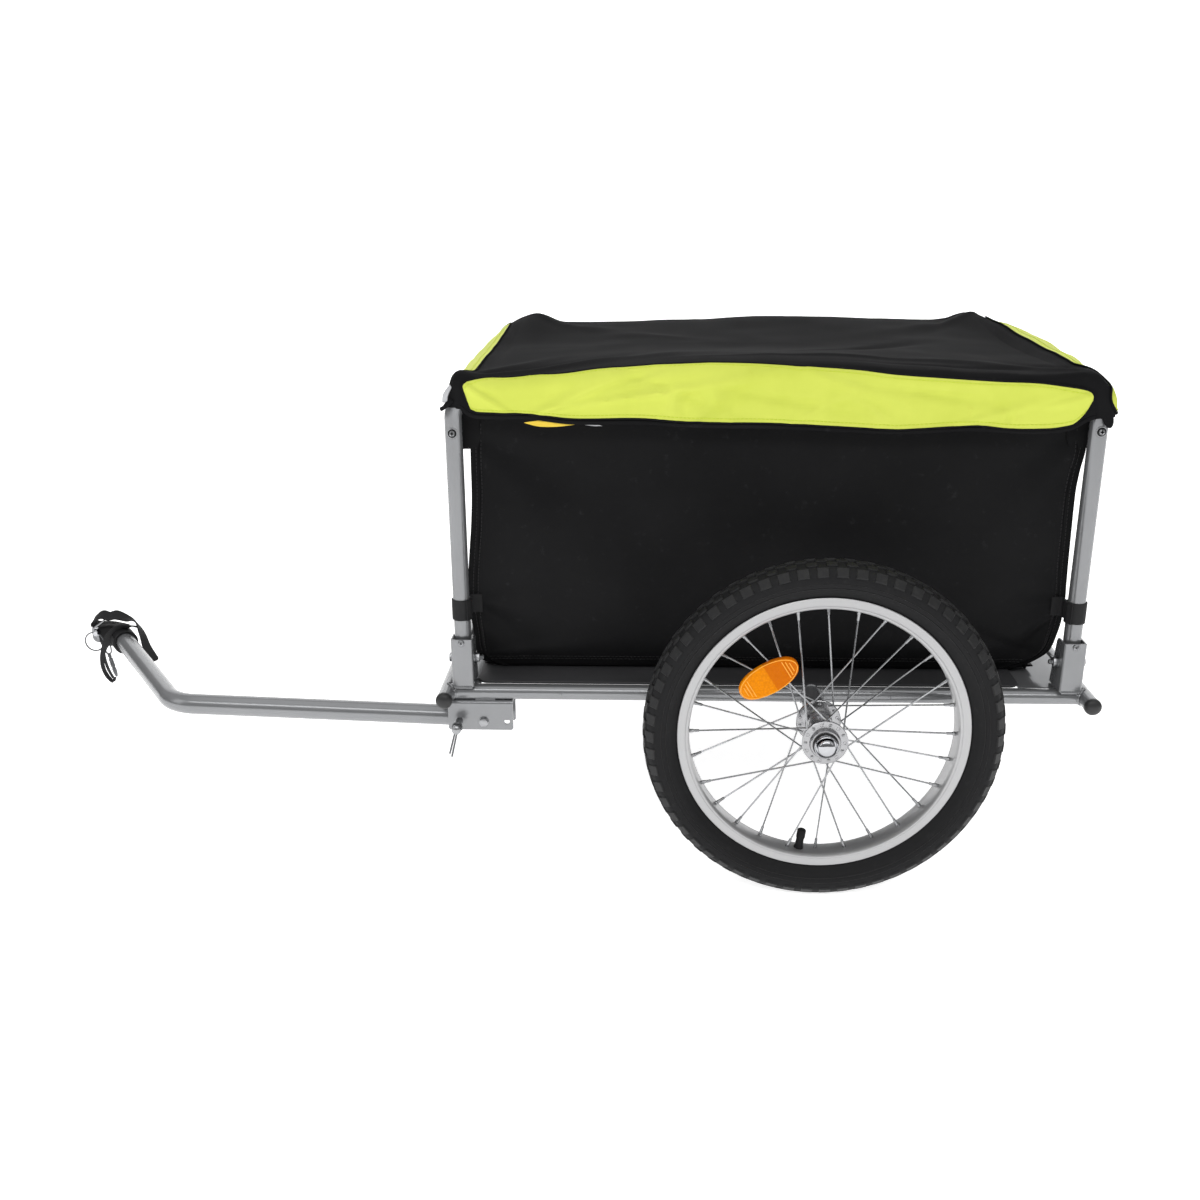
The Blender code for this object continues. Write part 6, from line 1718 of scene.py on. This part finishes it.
# Drawbar
# One round steel tube, painted like the frame. It lies in the channel, leaves it forwards and
# is bent once, in towards the bicycle's rear axle.
BAR_RADIUS = 0.0127
BAR_TAIL = 0.018
BAR_STRAIGHT = 0.3905
BAR_BEND = 0.05
BAR_TURN = 55.0
BAR_LEG = 0.279
BAR_WALL = 0.002
BAR_DIP = 1.95
BAR = Matrix.Translation(PIVOT) @ Matrix.Rotation(math.radians(BAR_DIP), 4, Y)
LEG = Vector((-math.cos(math.radians(BAR_TURN)), math.sin(math.radians(BAR_TURN)), 0))
BAR_END = Vector((-BAR_STRAIGHT, 0, 0)) + LEG * BAR_LEG
setback = BAR_BEND * math.tan(math.radians(BAR_TURN / 2))
runs = [(BAR_TAIL + BAR_STRAIGHT - setback,), (BAR_TURN, BAR_BEND, Y), (BAR_LEG - setback,)]
bm = bent_tube((BAR_TAIL, 0, 0), -X, runs, BAR_RADIUS, sides=48, bend_steps=20, wall=BAR_WALL)
bmesh.ops.transform(bm, matrix=BAR, verts=bm.verts)
piece = make_object("bent_drawbar", bm, enamel)
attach(piece, "drawbar")
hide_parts("drawbar")

# Lock pin
# A zinc-plated pull pin holds the drawbar straight in its channel. A wire clip hangs on its
# neck: a ring with both ends of the wire laid together below it.
PIN_RADIUS = 0.004
PIN_NECK = 0.038
dull_wire = zinc("dull_spring_steel", (104, 105, 107), 0.34)
CLIP_WIRE = 0.00115
CLIP_SWAY = 14
centre = PIVOT + X * CHANNEL_HOLES[0][0]
outline = [
    (-0.019, 0), (-0.019, 0.0024), (-0.0172, PIN_RADIUS), (PIN_NECK - 0.0012, PIN_RADIUS),
    (PIN_NECK - 0.0012, 0.0047), (PIN_NECK, 0.0051), (PIN_NECK + 0.0012, 0.0058), (PIN_NECK + 0.0034, 0.006),
    (PIN_NECK + 0.0056, 0.0055), (PIN_NECK + 0.007, 0.004), (PIN_NECK + 0.0078, 0.002),
    (PIN_NECK + 0.008, 0),
]  # fmt: skip
piece = make_object("pull_pin", turned(outline, centre, -Y, 40), bright_zinc, sharp=30)
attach(piece, "lock_pin")
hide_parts("lock_pin")
hang = centre - Y * (PIN_NECK - 0.0038)
loop = PIN_RADIUS + CLIP_WIRE + 0.0003
turns = [math.radians(a) for a in range(24, 350, 18)]
line = [(0.0015, 0, -0.04), (0.0014, 0, -0.025), (0.0013, 0, -loop - 0.0022)]
line += [(math.sin(t) * loop, 0, -math.cos(t) * loop) for t in turns]
line += [(-0.0013, 0, -loop - 0.0022), (-0.0016, 0.0004, -0.024), (-0.0019, 0.0006, -0.037)]
sway = Matrix.Translation(hang) @ Matrix.Rotation(math.radians(CLIP_SWAY), 4, Y)
wire = sweep([sway @ p for p in smooth_line(line, 3)], ring_section(CLIP_WIRE, 8))
piece = make_object("wire_clip", wire, dull_wire)
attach(piece, "lock_pin")
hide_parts("lock_pin_clip")

# Hitch
# A machined steel fitting is pressed into the drawbar's end: a collar with an upright blade.
# The hitch pin goes through the blade and is pulled by a fine split ring.
END = BAR @ BAR_END
MIDDLE = BAR_END + LEG * 0.004
HITCH_PIN = Vector((-0.64675, -0.01018, 0.19209))
RING = 0.0135
RING_WIRE = 0.001
RING_Y = -0.02348
RING_SWING = 18
outline = [
    (-0.03, 0), (-0.03, 0.0096), (-0.029, 0.0104), (0.0003, 0.0104), (0.0003, 0.0121),
    (0.0009, 0.0127), (0.0034, 0.0127), (0.004, 0.0121), (0.004, 0),
]  # fmt: skip
bm = turned(outline, BAR_END, LEG, 48)
low, high = MIDDLE + Vector((-0.04, -0.003, -0.011)), MIDDLE + Vector((0, 0.003, 0.015))
blade = box(low, high)
upright = [e for e in blade.edges if abs((e.verts[0].co - e.verts[1].co).y) > 0.001]
outer = [e for e in upright if e.verts[0].co.x < low.x + 0.001]
bevel(blade, outer, 0.008, 8)
join(bm, soften(blade, 0.0006, 2, least=60))
bmesh.ops.transform(bm, matrix=BAR, verts=bm.verts)
piece = make_object("blade_fitting", bm, enamel, sharp=32)
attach(piece, "drawbar")
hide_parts("hitch_fitting")
outline = [
    (-0.0133, 0), (-0.0133, 0.002), (-0.0115, 0.004), (0.0033, 0.004), (0.0033, 0.0066),
    (0.0037, 0.007), (0.0059, 0.007), (0.0063, 0.0066), (0.0063, 0.004), (0.0156, 0.004),
    (0.0168, 0.003), (0.0171, 0),
]  # fmt: skip
piece = make_object("hitch_bolt_pin", turned(outline, HITCH_PIN, -Y, 32), chrome, sharp=30)
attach(piece, "hitch_pin")
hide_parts("hitch_pin")
line = []
for i in range(73):
    angle = math.tau * i / 72
    line.append((math.sin(angle) * RING, RING_WIRE * 0.9 * (i / 72 - 0.5), (math.cos(angle) - 1) * RING))
swing = Matrix.Rotation(math.radians(RING_SWING), 4, Y)
swing = Matrix.Translation((HITCH_PIN.x, RING_Y, HITCH_PIN.z)) @ swing
ring = sweep([swing @ Vector(p) for p in line], ring_section(RING_WIRE))
piece = make_object("split_ring", ring, dull_wire)
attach(piece, "hitch_ring")
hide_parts("hitch_ring")

# Safety strap, tether and snap hook
# The safety strap of black webbing is wound round the drawbar's end and looped back over it,
# and its tail hangs behind. A narrow tether with a small snap hook hangs from the pin.
STRAP_PATH = (
    ((0.01, 0.0, 0.0145), (0.0, 1.0, 0.0), 1.0), ((-0.012, 0.001, 0.0185), (0.0, 1.0, 0.0), 1.0),
    ((-0.033, 0.0, 0.018), (0.0, 1.0, 0.2), 1.0), ((-0.037, -0.001, 0.0225), (0.0, 0.9, 0.3), 1.0),
    ((-0.03, 0.0, 0.029), (0.1, 0.9, 0.4), 1.0), ((-0.0225, 0.001, 0.032), (0.1, 0.9, 0.5), 0.9),
    ((-0.014, 0.001, 0.0295), (0.0, 0.85, 0.5), 0.9), ((-0.004, 0.002, 0.0312), (0.0, 0.85, 0.5), 0.95),
    ((0.011, 0.0015, 0.0262), (-0.08, 0.92, 0.3), 0.8), ((0.0245, 0.0, 0.0205), (-0.19, 0.85, -0.49), 0.9),
    ((0.0345, -0.008, 0.007), (0.25, 0.92, -0.2), 0.7), ((0.043, -0.019, -0.007), (0.45, 0.86, 0.0), 0.72),
    ((0.052, -0.029, -0.0175), (0.55, 0.8, 0.1), 0.85), ((0.057, -0.0335, -0.0222), (0.6, 0.78, 0.1), 0.85),
    ((0.059, -0.035, -0.024), (0.6, 0.78, 0.1), 0.55),
)  # fmt: skip
STRAP_WIDE = 0.018
STRAP_THICK = 0.0018
TETHER_LOOP = 0.0054
TETHER_WIDE = 0.006
HOOK_WIRE = 0.0011
LINK_SIDES = 40


def wound(centre, axis, first, radii, start, turns, width, climb=0.0, steps=40):
    """Webbing wound round an axis on two radii, in a spiral that climbs on itself."""
    axis, first = Vector(axis).normalized(), Vector(first).normalized()
    second = axis.cross(first)
    path = []
    for i in range(steps + 1):
        share = i / steps
        angle = math.radians(start) + math.tau * turns * share
        grow = climb * share
        spot = first * math.cos(angle) * (radii[0] + grow) + second * math.sin(angle) * (radii[1] + grow)
        path.append((centre + spot, axis, 1.0))
    return ribbon(path, width, STRAP_THICK, 2)


leg = (BAR.to_3x3() @ LEG).normalized()
wrap = wound(END - leg * 0.0175, leg, Z, (0.014, 0.014), 30, 1.75, 0.024, 0.0026)
blade_middle = END + Vector((-0.019, 0.003, 0.0025))
over_blade = wound(blade_middle, X, Z, (0.0155, 0.0062), 90, 1.6, 0.023, 0.0022)
front_loop = [
    ((0.03, -0.008, 0.0165), (0.1, 0.9, -0.3), 0.35),
    ((0.019, -0.01, 0.019), (0.1, 0.9, -0.4), 0.75),
    ((0.005, -0.015, 0.015), (0.35, 0.5, -0.7), 0.95),
    ((-0.0085, -0.018, 0.0045), (0.7, 0.2, -0.6), 0.8),
    ((-0.017, -0.018, -0.008), (0.9, 0.3, -0.2), 0.5),
    ((-0.025, -0.015, -0.025), (0.85, 0.5, 0.0), 0.34),
    ((-0.028, -0.011, -0.043), (0.6, 0.8, 0.0), 0.32),
    ((-0.025, -0.008, -0.058), (0.6, 0.8, 0.2), 0.32),
    ((-0.018, -0.0075, -0.0665), (0.6, 0.8, 0.3), 0.26),
    ((-0.0145, -0.0075, -0.06), (0.6, 0.8, 0.3), 0.24),
]
strap, tongue = (
    ribbon([(END + Vector(p), Vector(a), w) for p, a, w in path], STRAP_WIDE, STRAP_THICK)
    for path in (STRAP_PATH, front_loop)
)
strap = join(strap, tongue, wrap, over_blade)
piece = make_object("webbing_safety_strap", strap, webbing, sharp=50)
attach(piece, "drawbar")
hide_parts("safety_strap")
path = (-0.0345, -0.011, 0.015), (-0.0265, -0.0115, 0.0205), (-0.0165, -0.0105, 0.0275)
wire = sweep(smooth_line([END + Vector(p) for p in path]), ring_section(0.0013))
piece = make_object("strap_wire_bar", wire, bright_zinc)
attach(piece, "drawbar")

middle = HITCH_PIN + Y * 0.0085
loop = wound(middle, Y, -Z, (TETHER_LOOP, TETHER_LOOP), 0, 1.0, TETHER_WIDE, steps=20)
drop = [
    (middle + Vector((x, 0, z)), Y, share)
    for x, z, share in (
        (0.0003, -0.0054, 1.0), (-0.0022, -0.015, 1.0), (-0.0034, -0.03, 1.0),
        (-0.0032, -0.048, 1.0), (-0.0002, -0.064, 1.0), (0.005, -0.0765, 0.8),
    )
]  # fmt: skip
tether = join(loop, ribbon(drop, TETHER_WIDE, STRAP_THICK))
piece = make_object("webbing_tether", tether, webbing, sharp=50)
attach(piece, "drawbar")
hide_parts("tether_strap")

top = middle + Vector((0.0037, 0, -0.0351))
link = []
for i in range(LINK_SIDES):
    angle = math.tau * i / LINK_SIDES
    lift = 0.0075 * math.copysign(abs(math.cos(angle)) ** 0.6, math.cos(angle))
    link.append(top + Vector((0.0042 * math.sin(angle), 0, lift + 0.0032)))
lean = Vector((0.2, 0, -1)).normalized()
body = [
    (0, 0), (0, 0.0018), (0.0006, 0.0024), (0.005, 0.0026), (0.0056, 0.0019), (0.007, 0.0019),
    (0.0076, 0.0029), (0.02, 0.003), (0.0206, 0.0024), (0.0224, 0.0024), (0.0232, 0.003),
    (0.029, 0.0028), (0.034, 0.002), (0.036, 0.0008), (0.036, 0),
]  # fmt: skip
foot = top - Z * 0.0042
outline = [(0, 0.0012), (0.0022, 0.0012), (0.0028, 0.0008), (0.0028, 0)]
knob = turned(outline, foot + lean * 0.015 - Y * 0.0026, -Y, 14)
hook = join(sweep(link, ring_section(HOOK_WIRE), closed=True), turned(body, foot, lean, 24), knob)
piece = make_object("small_snap_hook", hook, dull_wire, sharp=32)
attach(piece, "drawbar")
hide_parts("snap_hook")
